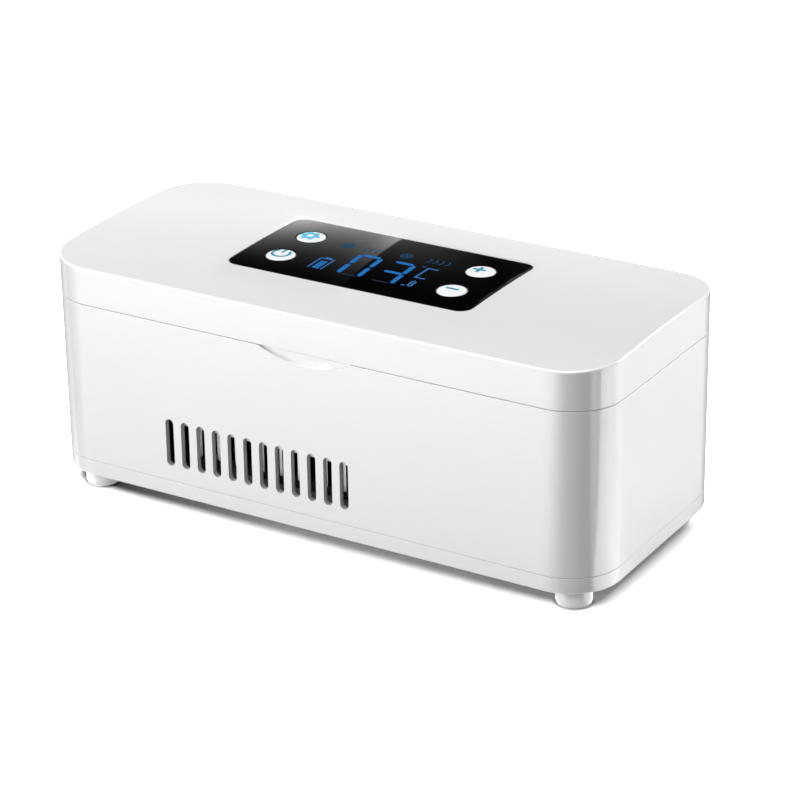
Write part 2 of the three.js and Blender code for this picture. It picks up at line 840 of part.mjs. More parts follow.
function makeJack() {
  const front = halfDepth - wall - gap;
  const bodyFront = front - jackFlangeThickness - jackBodyLength;
  const back = halfDepth - gap;
  const socket = rodAlongY(jackBore, back - jackDepth, back + overcut, boardX, jackZ);
  const shape = join([
    rodAlongY(jackRadius, bodyFront, back, boardX, jackZ),
    rodAlongY(jackFlange, front - jackFlangeThickness, front, boardX, jackZ),
  ]).subtract(socket);
  return shape.add(rodAlongY(jackPin, back - jackDepth - weld, back - overcut, boardX, jackZ));
}

// Lid

const lidBlock = (inset, drop, bottom, edge) =>
  crownedBlock({
    length: caseLength - 2 * inset,
    depth: caseDepth - 2 * inset,
    radius: cornerRadius - inset,
    bottom,
    topAt: (y) => crownHeight(y) - drop,
    topEdge: edge,
    bottomEdge: 0,
  });

function lensPrism(grow, bottom, top) {
  const length = lensLength + 2 * grow;
  const outline = roundedRectangle(length, lensDepth + 2 * grow, lensCorner + grow, lensX, lensY);
  return prism(outline, bottom, top, smallArcSteps);
}

const linerScrewPlaces = corners.map((corner) => [
  corner.x * (halfLength - linerScrewInsetX),
  corner.y < 0 ? linerScrewFront - halfDepth : halfDepth - linerScrewBack,
]);
const postPlaces = corners.map((corner) => [lensX + corner.x * postX, lensY + corner.y * postSpread]);
const above = lidEdgeTop + lidCrown + overcut;

function lidKnuckle(centre) {
  const [left, right] = knuckleRanges(centre).lid;
  const half = knuckleWeb / 2;
  const webTop = hingeZ + troughRadius + troughWall / 2;
  return rodAlongX(knuckleRadius, left, right, hingeY, hingeZ)
    .add(box(left, right, hingeY - half, hingeY + half, hingeZ + pinBore, webTop))
    .subtract(rodAlongX(pinBore, left - gap, right + gap, hingeY, hingeZ));
}

function makeLidShell() {
  const outside = lidBlock(0, 0, lidBottom, lidEdgeRadius);
  const swing = (radius) => rodAlongX(radius, -caseLength, caseLength, hingeY, hingeZ, wideSides);
  const hollow = lidBlock(lidWall, lidTop, lidBottom - overcut, lidEdgeRadius);
  const cavity = hollow.subtract(swing(troughRadius + troughWall));
  const lensFloor = lidBlock(lidWall, lensThickness + lensGap, lidBottom, 0);
  const pocket = lensPrism(lensGap, lidBottom, above).subtract(lensFloor);
  const window = lensPrism(-lensLedge, lidBottom, above);
  let lid = cut(outside, [cavity, swing(troughRadius), pocket, window]);
  const linerPosts = linerScrewPlaces.map(([x, y]) => upright(linerBossRadius, linerTop + gap, above, x, y));
  const boardPosts = postPlaces.map(([x, y]) => upright(postRadius, controlBoardTop + gap, above, x, y));
  const stakes = postPlaces.map(([x, y]) => upright(stakeRadius, controlBoardBottom, above, x, y));
  const posts = join([...linerPosts, ...boardPosts, ...stakes]);
  lid = lid.add(posts.intersect(lidBlock(lidWall, lidTop / 2, lidBottom, 0)));
  const screwReach = linerTop + linerScrewLength + overcut;
  const bores = linerScrewPlaces.map(([x, y]) =>
    upright(linerScrewRadius + gap, linerTop, Math.min(screwReach, crownHeight(y) - lidTop / 2), x, y),
  );
  return join([cut(lid, bores), ...hingeCentres.map(lidKnuckle)]);
}

function makeLens() {
  const floor = lidBlock(lidWall, lensThickness, lidBottom, 0);
  const top = lidBlock(lidWall, 0, lidBottom, 0);
  const holes = buttons.map((button) =>
    upright(buttonRadius + gap, lidBottom, above, button.x, button.y, wideSides),
  );
  return cut(lensPrism(0, lidBottom + overcut, above).intersect(top), [floor, ...holes]);
}

// A button drawn on its own axis. Its top is level with the lens there.
function makeButton(button) {
  const flangeTop = crownHeight(Math.abs(button.y) + buttonFlange) - lensThickness - gap;
  const cap = crownHeight(button.y);
  return turned(
    [
      [0, flangeTop - buttonFlangeThickness],
      [buttonFlange, flangeTop - buttonFlangeThickness],
      [buttonFlange, flangeTop],
      [buttonRadius, flangeTop],
      [buttonRadius, cap - buttonEdge],
      [buttonRadius - buttonEdge, cap],
      [0, cap],
    ],
    wideSides,
  );
}

function makeSwitch() {
  const half = switchSize / 2;
  const bottom = controlBoardTop + gap;
  const middle = bottom + switchHeight / 2;
  return join([
    box(-half, half, -half, half, bottom, middle),
    upright(half - gap, middle - gap, bottom + switchHeight),
  ]);
}

function makeControlBoard() {
  const length = 2 * (postX + controlBoardEdge);
  const outline = roundedRectangle(length, controlBoardDepth, postRadius, lensX, lensY);
  const board = prism(outline, controlBoardBottom, controlBoardTop, smallArcSteps);
  const holes = postPlaces.map(([x, y]) =>
    upright(stakeRadius + gap, controlBoardBottom - overcut, controlBoardTop + overcut, x, y),
  );
  return cut(board, holes);
}

function makeLcd() {
  const outline = roundedRectangle(lcdLength, lcdDepth, lcdCorner, lensX, lensY);
  return prism(outline, lcdBottom, lcdTop, smallArcSteps);
}

function gasketRing(grow, bottom, top) {
  const start = gasketOffset - grow;
  const finishAt = gasketOffset + gasketWidth + grow;
  const ringOutline = (reach) =>
    roundedRectangle(chamberLength + 2 * reach, chamberDepth + 2 * reach, chamberCorner + reach);
  const inside = prism(ringOutline(start), bottom - overcut, top + overcut);
  return prism(ringOutline(finishAt), bottom, top).subtract(inside);
}

function makeLiner() {
  const plate = prism(caseOutline(lidWall + gap), linerBottom, linerTop);
  const keepOut = troughRadius + troughWall + gap;
  const recess = linerScrewHeadHeight + gap;
  const screwCuts = linerScrewPlaces.flatMap(([x, y]) => [
    upright(linerScrewHead + gap, linerBottom - overcut, linerBottom + recess, x, y),
    upright(linerScrewRadius + gap, linerBottom, linerTop + overcut, x, y),
  ]);
  const pockets = sides.map((side) =>
    upright(magnetRadius + gap, linerBottom - overcut, linerTop + overcut, side.x * magnetX, magnetY),
  );
  return cut(plate, [
    rodAlongX(keepOut, -caseLength, caseLength, hingeY, hingeZ, wideSides),
    gasketRing(gap, linerBottom - overcut, linerBottom + gasketGroove),
    ...screwCuts,
    ...pockets,
  ]);
}

// Assembly

const coolingCase = new THREE.Group();
const body = new THREE.Group();
const cooler = new THREE.Group();
const lid = new THREE.Group();
coolingCase.add(body, cooler, lid);

piece(body, "main_shell", makeMainShell(), glossWhite);
piece(body, "base_cover", makeBaseCover(), glossWhite);
const screwStart = footRecess - gap - baseScrewHeadHeight;
const baseShank = bossBottom + baseScrewReach - footRecess + gap;
corners.forEach((corner, i) => {
  const x = corner.x * footX;
  const y = corner.y * footY;
  const screw = makeScrew(baseScrewRadius, baseScrewHead, baseScrewHeadHeight, baseShank);
  piece(body, `foot_${corner.name}`, makeFoot(), glossWhite, x, y);
  piece(body, `base_screw_${i + 1}`, screw, steel, x, y, screwStart);
});
piece(body, "chamber_deck", makeDeck(), satinWhite);
piece(body, "inner_tray", makeTray(), brushedAluminium);
piece(body, "insulation_block", makeInsulation(), foamGrey);
const probe = rodAlongX(probeRadius, -probeLength / 2, probeLength / 2, 0, 0);
piece(body, "temperature_probe", probe, blackPlastic, probeX, 0, probeZ);
piece(body, "battery_holder", makeBatteryHolder(), blackPlastic);
const cellStart = holderX - cellRun / 2;
[-1, 1].forEach((side, i) => {
  piece(body, `battery_cell_${i + 1}`, makeCell(), cellSleeve, cellStart, (side * cellSpacing) / 2, cellZ);
});
piece(body, "main_board", makeMainBoard(), boardGreen);
piece(body, "dc_jack", makeJack(), blackPlastic);
for (const side of sides) {
  const magnet = upright(magnetRadius, deckBottom, deckTop);
  piece(body, `case_magnet_${side.name}`, magnet, magnetNickel, side.x * magnetX, magnetY);
  const [from, to] = knuckleRanges(0).pin;
  const pin = rodAlongX(pinRadius, from, to, 0, 0);
  piece(body, `hinge_pin_${side.name}`, pin, steel, side.x * hingeX, hingeY, hingeZ);
}

piece(cooler, "fan_frame", makeFanFrame(), blackPlastic, coolerX);
piece(cooler, "fan_rotor", makeFanRotor(), blackPlastic, coolerX);
piece(cooler, "heat_sink", makeHeatSink(), brushedAluminium);
piece(cooler, "peltier_module", squarePlate(peltierSize, peltierBottom, peltierHeight), ceramicWhite);
piece(cooler, "cold_block", squarePlate(coldSize, coldBottom, coldHeight), brushedAluminium);

piece(lid, "lid_shell", makeLidShell(), glossWhite);
piece(lid, "display_lens", makeLens(), lensBlack);
piece(lid, "lcd_module", makeLcd(), displayGrey);
piece(lid, "control_board", makeControlBoard(), boardGreen);
for (const button of buttons) {
  piece(lid, `tact_switch_${button.name}`, makeSwitch(), blackPlastic, button.x, button.y);
  piece(lid, `button_${button.name}`, makeButton(button), buttonWhite, button.x, button.y);
}
const lidFoam = prism(caseOutline(lidFoamInset), linerTop + gap, linerTop + gap + lidFoamHeight);
piece(lid, "lid_insulation", lidFoam, foamGrey);
piece(lid, "lid_liner", makeLiner(), satinWhite);
const gasketTop = linerBottom + gasketGroove - gap;
piece(lid, "lid_gasket", gasketRing(0, deckTop + gap, gasketTop), rubberGrey);
for (const side of sides) {
  const magnet = upright(magnetRadius, linerBottom, linerTop);
  piece(lid, `lid_magnet_${side.name}`, magnet, magnetNickel, side.x * magnetX, magnetY);
}
linerScrewPlaces.forEach(([x, y], i) => {
  const screw = makeScrew(linerScrewRadius, linerScrewHead, linerScrewHeadHeight, linerScrewLength);
  piece(lid, `liner_screw_${i + 1}`, screw, steel, x, y, linerBottom);
});

export default coolingCase;
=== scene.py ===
# Looks of a portable insulin cooling case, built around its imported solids.
# Lengths in this file are millimetres, and a mesh turns them into metres when it is made.
# X runs along the case, -Y is the front and +Z is up.

import json
import math

import bmesh
import bpy
from mathutils import Matrix, Vector


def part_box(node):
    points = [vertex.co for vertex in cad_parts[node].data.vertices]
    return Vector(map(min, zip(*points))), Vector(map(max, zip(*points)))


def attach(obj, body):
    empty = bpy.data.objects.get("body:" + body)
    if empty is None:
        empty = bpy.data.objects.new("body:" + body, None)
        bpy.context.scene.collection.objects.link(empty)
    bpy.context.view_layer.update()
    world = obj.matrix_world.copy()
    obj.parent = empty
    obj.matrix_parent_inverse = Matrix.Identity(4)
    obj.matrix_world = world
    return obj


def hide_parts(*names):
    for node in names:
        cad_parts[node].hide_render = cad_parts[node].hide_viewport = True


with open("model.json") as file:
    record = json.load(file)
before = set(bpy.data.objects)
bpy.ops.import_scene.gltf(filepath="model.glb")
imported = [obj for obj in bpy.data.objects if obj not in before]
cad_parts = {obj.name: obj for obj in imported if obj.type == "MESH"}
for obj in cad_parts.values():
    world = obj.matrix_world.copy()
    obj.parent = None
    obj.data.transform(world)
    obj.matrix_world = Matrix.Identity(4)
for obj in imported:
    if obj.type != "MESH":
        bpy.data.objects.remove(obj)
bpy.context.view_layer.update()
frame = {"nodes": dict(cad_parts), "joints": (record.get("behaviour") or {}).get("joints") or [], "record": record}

MM = 0.001


# Sizes that come from the frame


def node_box(node):
    """Lowest and highest corner of a solid, in millimetres."""
    low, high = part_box(node)
    return low / MM, high / MM


def joint_place(name):
    """Point on a joint's axis, in millimetres."""
    for joint in frame["joints"]:
        if joint["name"] == name:
            return Vector(joint["pos_m"]) / MM
    raise KeyError(name)


def node_centre(node):
    low, high = node_box(node)
    return ((low.x + high.x) / 2, (low.y + high.y) / 2)


def node_radius(node):
    low, high = node_box(node)
    return (high.x - low.x) / 2


half_length, half_depth = node_box("main_shell")[1].xy
case_length = 2 * half_length
case_depth = 2 * half_depth
cover_bottom = node_box("base_cover")[0].z
lid_apex = node_box("lid_shell")[1].z
hinge_y, hinge_z = joint_place("lid_hinge").yz
lens_low, lens_high = node_box("display_lens")
deck_low, deck_high = node_box("chamber_deck")
tray_low, tray_high = node_box("inner_tray")
liner_low, liner_high = node_box("lid_liner")
gasket_low, gasket_high = node_box("lid_gasket")
jack_low, jack_high = node_box("dc_jack")
jack_centre = ((jack_low.x + jack_high.x) / 2, (jack_low.z + jack_high.z) / 2)

# Sizes that the frame's boxes don't hold
corner_radius = 18
wall = 2
lower_seam = 13.2
lower_seam_gap = 0.16
lower_seam_round = 0.12  # round along both sides of the lower seam
lid_seam = hinge_z
lid_seam_gap = 0.22
lid_seam_round = 0.18
lid_wall = 2.2
lid_top = 3.2
lid_crown = 1.8
lid_edge_round = 0.7
cover_edge_round = 0.5
cover_floor = 2.2
cover_lip = 3.5  # from the outside of the cover to its hollow
notch_width = 35
notch_height = 4
notch_depth = 1.1
vent_count = 12
vent_pitch = 6.14
vent_width = 3.2
vent_height = 16.8
vent_rise = 5.6
vent_x = -19.95
grille_radius = 22
grille_slot = 2.4
grille_pitch = 4.8
knuckle_radius = 2.4
knuckle_length = 8
lid_knuckle_length = 12
knuckle_gap = 0.3
knuckle_room = 1
knuckle_web = 2.2
pin_bore = 1.3
hinge_x = 60
trough_radius = 4.29
trough_wall = 1.8
lens_corner = 4.5
lens_thickness = 1.4
lens_gap = 0.2
lens_ledge = 3
button_hole = 5.4
button_gap = 0.45
jack_hole = 3.9
chamber_corner = 7
tray_wall = 1
tray_floor_round = 3
magnet_hole = 3.3
screw_hole = 2.5
gasket_groove = 0.8
past = 1  # how far a cutter runs past the face that it opens

# Small rounds along the edges of the pieces
moulding_edge = 0.25
lid_edge = 0.18
foot_edge = 0.15
lens_edge = 0.12
cap_edge = 0.1
deck_edge = 0.35
metal_edge = 0.2
pin_edge = 0.3
screw_edge = 0.08
magnet_edge = 0.05
solid_edge = 0.12

# Fineness of round forms
corner_steps = 28
end_steps = 12
small_steps = 12
edge_steps = 5
edge_segments = 3  # of the small rounds along edges
small_segments = 2
round_sides = 64

# Heights and lengths that follow
cover_top = lower_seam - lower_seam_gap / 2
shell_bottom = lower_seam + lower_seam_gap / 2
shell_top = lid_seam - lid_seam_gap / 2
lid_bottom = lid_seam + lid_seam_gap / 2
floor_top = cover_bottom + cover_floor
crown_radius = (half_depth**2 + lid_crown**2) / (2 * lid_crown)
lens_length, lens_depth = (lens_high - lens_low).xy
lens_centre = node_centre("display_lens")
above_lid = lid_apex + past


def crown_height(y):
    """Height of the lid's top surface at a distance y from the middle of the case."""
    return lid_apex - crown_radius + math.sqrt(crown_radius**2 - y**2)


# Outlines, as lists of (x, y) that run anticlockwise


def arc(centre, radius, start, end, steps):
    """Points along an arc. Angles are in degrees."""
    points = []
    for step in range(steps + 1):
        turn = math.radians(start + (end - start) * step / steps)
        points.append((centre[0] + radius * math.cos(turn), centre[1] + radius * math.sin(turn)))
    return points


def rectangle(left, right, bottom, top):
    return [(left, bottom), (right, bottom), (right, top), (left, top)]


def rounded_rectangle(length, depth, radius, steps=corner_steps, sides=end_steps):
    """Outline that starts at the front of the right end and mirrors it for the left end."""
    right = length / 2 - radius
    back = depth / 2 - radius
    half = arc((right, -back), radius, -90, 0, steps)
    for step in range(1, sides):
        half.append((length / 2, back * (2 * step / sides - 1)))
    half += arc((right, back), radius, 0, 90, steps)
    return half + [(-x, y) for x, y in reversed(half)]


def slot(width, length, centre):
    """Slot with round ends that runs along the second axis."""
    radius = width / 2
    reach = length / 2 - radius
    top = arc((centre[0], centre[1] + reach), radius, 0, 180, small_steps)
    return top + arc((centre[0], centre[1] - reach), radius, 180, 360, small_steps)


def circle(centre, radius, sides=round_sides):
    return arc(centre, radius, 0, 360, sides)[:-1]


# Meshes


def object_from(name, points, faces):
    """New object from points in millimetres, with every face turned outwards."""
    mesh = bpy.data.meshes.new(name)
    mesh.from_pydata([Vector(point) * MM for point in points], [], faces)
    shape = bmesh.new()
    shape.from_mesh(mesh)
    bmesh.ops.recalc_face_normals(shape, faces=shape.faces)
    shape.to_mesh(mesh)
    shape.free()
    made = bpy.data.objects.new(name, mesh)
    bpy.context.scene.collection.objects.link(made)
    return made


def quads(low, high, count):
    """Faces between two rings of points, which start at the numbers low and high."""
    pairs = [(i, (i + 1) % count) for i in range(count)]
    return [(low + i, low + j, high + j, high + i) for i, j in pairs]


def block(name, length, depth, radius, rings, centre=(0, 0), steps=corner_steps, sides=end_steps):
    """Rounded block lofted through rings of (inset, height at y), from its bottom to its top."""
    points = []
    faces = []
    count = 0
    for inset, height_at in rings:
        ring = rounded_rectangle(length - 2 * inset, depth - 2 * inset, radius - inset, steps, sides)
        count = len(ring)
        points += [(x + centre[0], y + centre[1], height_at(y + centre[1])) for x, y in ring]
    last = count * (len(rings) - 1)
    for low in range(0, last, count):
        faces += quads(low, low + count, count)
    for i in range(count // 2 - 1):
        mirror = count - 1 - i
        faces.append((last + mirror, last + i, last + i + 1, last + mirror - 1))
        faces.append((mirror, mirror - 1, i + 1, i))
    return object_from(name, points, faces)


def case_block(name, rings):
    return block(name, case_length, case_depth, corner_radius, rings)


def level(height):
    return lambda y: height


def straight(inset, bottom, top):
    """Rings of an upright wall."""
    return [(inset, level(bottom)), (inset, level(top))]


def quarter_turn(steps):
    """Cosines and sines from zero to a right angle."""
    turns = [math.pi / 2 * step / steps for step in range(steps + 1)]
    return [(math.cos(turn), math.sin(turn)) for turn in turns]


def lower_edge(radius, height_at):
    """Rings that round the bottom edge of a block."""
    rings = []
    for cosine, sine in quarter_turn(edge_steps):
        rise = radius * (1 - cosine)
        rings.append((radius * (1 - sine), lambda y, rise=rise: height_at(y) + rise))
    return rings


def upper_edge(radius, height_at):
    """Rings that round the top edge of a block."""
    rings = []
    for cosine, sine in quarter_turn(edge_steps):
        drop = radius * (1 - sine)
        rings.append((radius * (1 - cosine), lambda y, drop=drop: height_at(y) - drop))
    return rings


def prisms(name, outlines, place):
    """Closed prisms of one mesh. place(u, v, end) gives the point at the near (0) or far (1) end."""
    points = []
    faces = []
    for outline in outlines:
        start = len(points)
        count = len(outline)
        points += [place(u, v, 0) for u, v in outline] + [place(u, v, 1) for u, v in outline]
        faces.append(tuple(range(start, start + count)))
        faces.append(tuple(range(start + 2 * count - 1, start + count - 1, -1)))
        faces += quads(start, start + count, count)
    return object_from(name, points, faces)


def upright(name, outlines, bottom, top):
    return prisms(name, outlines, lambda u, v, end: (u, v, top if end else bottom))


def along_y(name, outlines, front, back):
    return prisms(name, outlines, lambda u, v, end: (u, back if end else front, v))


def along_x(name, outlines, left, right):
    return prisms(name, outlines, lambda u, v, end: (right if end else left, u, v))


def turned(name, profile, centre, closed=False, sides=round_sides):
    """Round piece from a profile of (radius, height). An open profile starts and ends on the axis."""
    points = []
    rings = []
    for radius, height in profile:
        ring = circle(centre, radius, sides) if radius > 0 else [centre]
        rings.append((len(points), len(ring)))
        points += [(x, y, height) for x, y in ring]
    pairs = list(zip(rings, rings[1:]))
    if closed:
        pairs.append((rings[-1], rings[0]))
    faces = []
    steps = [(i, (i + 1) % sides) for i in range(sides)]
    for (low, low_count), (high, high_count) in pairs:
        if low_count == 1:
            faces += [(low, high + j, high + i) for i, j in steps]
        elif high_count == 1:
            faces += [(low + i, low + j, high) for i, j in steps]
        else:
            faces += quads(low, high, sides)
    return object_from(name, points, faces)


def settle(piece):
    """Takes what the modifiers made as the piece's own mesh."""
    bpy.context.view_layer.update()
    graph = bpy.context.evaluated_depsgraph_get()
    made = bpy.data.meshes.new_from_object(piece.evaluated_get(graph))
    piece.modifiers.clear()
    piece.data = made


def combine(piece, tools, operation):
    """Cuts tools from a piece, or joins them to it, and deletes them."""
    for tool in tools:
        modifier = piece.modifiers.new("combine", "BOOLEAN")
        modifier.operation = operation
        modifier.solver = "EXACT"
        modifier.object = tool
    settle(piece)
    for tool in tools:
        bpy.data.objects.remove(tool)


def cut(piece, *tools):
    combine(piece, tools, "DIFFERENCE")


def join(piece, *tools):
    combine(piece, tools, "UNION")


SHARP_ANGLE = math.radians(40)
FLAT_WEIGHT = 90  # how far large faces lead the shading of the rounds beside them


def round_edges(piece, width, segments):
    bevel = piece.modifiers.new("edge_round", "BEVEL")
    bevel.width = width * MM
    bevel.segments = segments
    bevel.limit_method = "ANGLE"
    bevel.angle_limit = SHARP_ANGLE
    return bevel


def soften(piece, width, segments):
    """Rounds a piece's hard edges and smooths its curved faces."""
    piece.data.shade_smooth()
    round_edges(piece, width, segments).miter_outer = "MITER_ARC"
    normals = piece.modifiers.new("even_normals", "WEIGHTED_NORMAL")
    normals.keep_sharp = True
    normals.weight = FLAT_WEIGHT


def dress(piece, body, slot_name, *nodes, edge=0, segments=edge_segments, finish=None):
    """Gives a piece its rounds, its finish, its body and the solids that it stands for."""
    if edge:
        soften(piece, edge, segments)
    piece.data.materials.clear()
    piece.data.materials.append(finish or finish_of_slot[slot_name])
    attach(piece, body)
    if nodes:
        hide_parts(*nodes)


# Shader nodes


class Graph:
    """Shader nodes of a material or of the world."""

    def __init__(self, owner):
        owner.use_nodes = True
        self.nodes = owner.node_tree.nodes
        self.links = owner.node_tree.links

    def feed(self, socket, value):
        """Links a socket to another node's output, or sets it to a constant."""
        if isinstance(value, bpy.types.NodeSocket):
            self.links.new(value, socket)
        else:
            socket.default_value = value

    def add(self, kind, sockets, **settings):
        node = self.nodes.new("ShaderNode" + kind)
        for name, value in settings.items():
            setattr(node, name, value)
        for name, value in sockets.items():
            self.feed(node.inputs[name], value)
        return node

    def ramp(self, value, start, end, low, high, kind="LINEAR"):
        """Value that runs from low to high while another one runs from start to end."""
        sockets = {"Value": value, "From Min": start, "From Max": end, "To Min": low, "To Max": high}
        return self.add("MapRange", sockets, interpolation_type=kind).outputs["Result"]

    def reckon(self, operation, first, second=0):
        """Sum, product or the like of two values."""
        return self.add("Math", {0: first, 1: second}, operation=operation).outputs[0]

    def vector(self, operation, first, second=(0, 0, 0)):
        return self.add("VectorMath", {0: first, 1: second}, operation=operation).outputs["Vector"]

    def length(self, vector):
        return self.add("VectorMath", {0: vector}, operation="LENGTH").outputs["Value"]

    def axes(self, vector):
        return self.add("SeparateXYZ", {"Vector": vector}).outputs

    def mixed(self, share, first, second, kind="FLOAT"):
        """Value or colour that runs from the first one to the second one."""
        return self.add("Mix", {"Factor": share, "A": first, "B": second}, data_type=kind).outputs["Result"]

    def noise(self, grain, detail):
        """Noise over an object, with so many waves for each metre along X, Y and Z."""
        place = self.add("TexCoord", {}).outputs["Object"]
        spread = self.add("Mapping", {"Vector": place, "Scale": grain}).outputs["Vector"]
        return self.add("TexNoise", {"Vector": spread, "Scale": 1, "Detail": detail}).outputs["Fac"]

    def read_off(self, value, points):
        """Value on the line through points that are given as (place, value)."""
        first = points[0][0]
        last = points[-1][0]
        table = self.add("ValToRGB", {"Fac": self.ramp(value, first, last, 0, 1)})
        stops = table.color_ramp.elements
        while len(stops) < len(points):
            stops.new(0.5)
        for stop, (place, share) in zip(stops, points):
            stop.position = (place - first) / (last - first)
            stop.color = (share, share, share, 1)
        return table.outputs["Color"]


# Materials

coat_roughness = 0.05
finest_polish = 0.02  # lowest roughness of a finish
mottle_detail = 4
relief_detail = 2
ink_body = 0.08  # share of its glow that an ink shows as plain colour
ink_roughness = 0.25
ink_flicker = 0.15
end_facing = 0.8  # share of a face's direction that is along Y where a profile was cut to length
cut_metal = (0.93, 0.935, 0.94)


def surface(
    name,
    colour,
    roughness,
    metallic=0,
    coat=0,
    coat_ior=1.5,
    shift=0.02,
    rough_shift=0.04,
    grain=(40, 40, 40),
    relief=None,
):
    """Finish whose colour and roughness vary with a noise. A relief is (grain, strength, depth)."""
    material = bpy.data.materials.new(name)
    graph = Graph(material)
    shader = graph.nodes["Principled BSDF"].inputs
    shader["Metallic"].default_value = metallic
    shader["Coat Weight"].default_value = coat
    shader["Coat Roughness"].default_value = coat_roughness
    shader["Coat IOR"].default_value = coat_ior
    mottle = graph.noise(grain, mottle_detail)
    darker = [part * (1 - shift) for part in colour] + [1]
    paler = [min(part * (1 + shift), 1) for part in colour] + [1]
    graph.feed(shader["Base Color"], graph.mixed(mottle, darker, paler, "RGBA"))
    smoothest = max(roughness - rough_shift, finest_polish)
    graph.feed(shader["Roughness"], graph.ramp(mottle, 0, 1, smoothest, min(roughness + rough_shift, 1)))
    if relief:
        relief_grain, strength, depth = relief
        height = graph.noise(relief_grain, relief_detail)
        bump = graph.add("Bump", {"Strength": strength, "Distance": depth * MM, "Height": height})
        graph.feed(shader["Normal"], bump.outputs["Normal"])
    return material


def lit_ink(name, colour):
    """Glowing display ink whose brightness varies a little from place to place."""
    material = surface(name, [part * ink_body for part in colour], ink_roughness)
    graph = Graph(material)
    shader = graph.nodes["Principled BSDF"].inputs
    shader["Specular IOR Level"].default_value = 0
    shader["Emission Color"].default_value = (*colour, 1)
    mottle = graph.nodes["Noise Texture"].outputs["Fac"]
    graph.feed(shader["Emission Strength"], graph.ramp(mottle, 0, 1, 1 - ink_flicker, 1 + ink_flicker))
    return material


def cut_ends(material):
    """Bare metal on the faces that look along Y, where a profile was cut to length."""
    graph = Graph(material)
    facing = graph.axes(graph.nodes["Texture Coordinate"].outputs["Normal"])["Y"]
    cut_face = graph.reckon("GREATER_THAN", graph.reckon("ABSOLUTE", facing), end_facing)
    bare = graph.mixed(cut_face, graph.nodes["Mix"].outputs["Result"], (*cut_metal, 1), "RGBA")
    graph.feed(graph.nodes["Principled BSDF"].inputs["Base Color"], bare)


peel = (900, 900, 900)  # slow waves of a moulded gloss surface, per metre
spark = (5000, 5000, 5000)  # fine texture of a satin moulding
cells = (1800, 1800, 1800)  # cells of the foam
brush_lines = (40, 6000, 6000)

finish_of_slot = {
    "shell_white": surface(
        "gloss_white",
        (0.9, 0.905, 0.91),
        0.2,
        coat=1,
        coat_ior=1.7,
        shift=0.006,
        relief=(peel, 0.05, 0.004),
    ),
    "deck_white": surface("satin_white", (0.8, 0.81, 0.82), 0.48, shift=0.015, relief=(spark, 0.3, 0.01)),
    "button_white": surface(
        "button_white", (0.88, 0.9, 0.92), 0.35, coat=0.2, shift=0.01, relief=(spark, 0.1, 0.005)
    ),
    "lens_black": surface(
        "lens_black", (0.0012, 0.0013, 0.0016), 0.022, shift=0.1, rough_shift=0.002, grain=(25, 60, 25)
    ),
    "display_grey": surface("display_dark", (0.02, 0.025, 0.03), 0.25, shift=0.1),
    "circuit_board": surface(
        "board_green", (0.015, 0.1, 0.04), 0.45, shift=0.35, grain=(400, 120, 400), relief=(peel, 0.3, 0.01)
    ),
    "foam": surface("foam_grey", (0.55, 0.57, 0.6), 0.9, shift=0.08, relief=(cells, 0.8, 0.3)),
    "rubber": surface("soft_grey", (0.24, 0.26, 0.28), 0.7, shift=0.06, relief=(spark, 0.4, 0.02)),
    "black_plastic": surface(
        "matt_black", (0.012, 0.012, 0.013), 0.55, shift=0.1, relief=(spark, 0.4, 0.015)
    ),
    "aluminium": surface(
        "brushed_aluminium",
        (0.72, 0.73, 0.75),
        0.3,
        metallic=1,
        shift=0.05,
        rough_shift=0.08,
        grain=(60, 4000, 4000),
        relief=(brush_lines, 0.25, 0.01),
    ),
    "ceramic": surface("ceramic_white", (0.74, 0.73, 0.69), 0.6, shift=0.04, relief=(spark, 0.3, 0.01)),
    "cell_sleeve": surface(
        "sleeve_blue", (0.03, 0.15, 0.4), 0.3, coat=0.2, shift=0.05, relief=(peel, 0.2, 0.01)
    ),
    "steel": surface(
        "bright_steel", (0.56, 0.57, 0.59), 0.28, metallic=1, shift=0.06, rough_shift=0.08, grain=peel
    ),
    "magnet": surface("nickel", (0.62, 0.62, 0.61), 0.2, metallic=1, shift=0.05, grain=(500, 500, 500)),
}
# Painted shade: a darker grey for the side walls inside the vents, which stands for the shadow in them
vent_painted_shade = surface("vent_painted_shade", (0.55, 0.555, 0.56), 0.5, shift=0.03, relief=(spark, 0.2, 0.01))
black_anodised = surface(
    "black_anodised", (0.008, 0.008, 0.009), 0.3, metallic=1, shift=0.1, relief=(spark, 0.1, 0.01)
)
cut_ends(black_anodised)
digit_blue = lit_ink("digit_blue", (0.018, 0.15, 0.45))
fine_blue = lit_ink("fine_blue", (0.04, 0.15, 0.4))
symbol_blue = lit_ink("symbol_blue", (0.016, 0.065, 0.13))
unlit_grey = lit_ink("unlit_grey", (0.022, 0.03, 0.048))
print_sky = surface("print_sky", (0.085, 0.5, 0.73), 0.4, shift=0.06, grain=(300, 300, 300))
print_teal = surface("print_teal", (0.012, 0.25, 0.38), 0.4, shift=0.06, grain=(300, 300, 300))


# Hinge places

hinge_centres = (-hinge_x, hinge_x)


def hinge_rod(radius, left, right):
    return along_x("hinge_rod", [circle((hinge_y, hinge_z), radius)], left, right)


# Body shell

vent_middle = lower_seam + vent_rise + vent_height / 2
side_facing = 0.5  # largest share of a vent wall's direction that is along Y


def vent_outlines():
    first = vent_x - vent_pitch * (vent_count - 1) / 2
    return [slot(vent_width, vent_height, (first + vent_pitch * i, vent_middle)) for i in range(vent_count)]


def notch_outline():
    half = notch_width / 2
    radius = (half**2 + notch_height**2) / (2 * notch_height)
    turn = math.degrees(math.asin(half / radius))
    sweep = arc((0, shell_top - notch_height + radius), radius, 270 - turn, 270 + turn, 2 * small_steps)
    return sweep + [(half, shell_top + past), (-half, shell_top + past)]


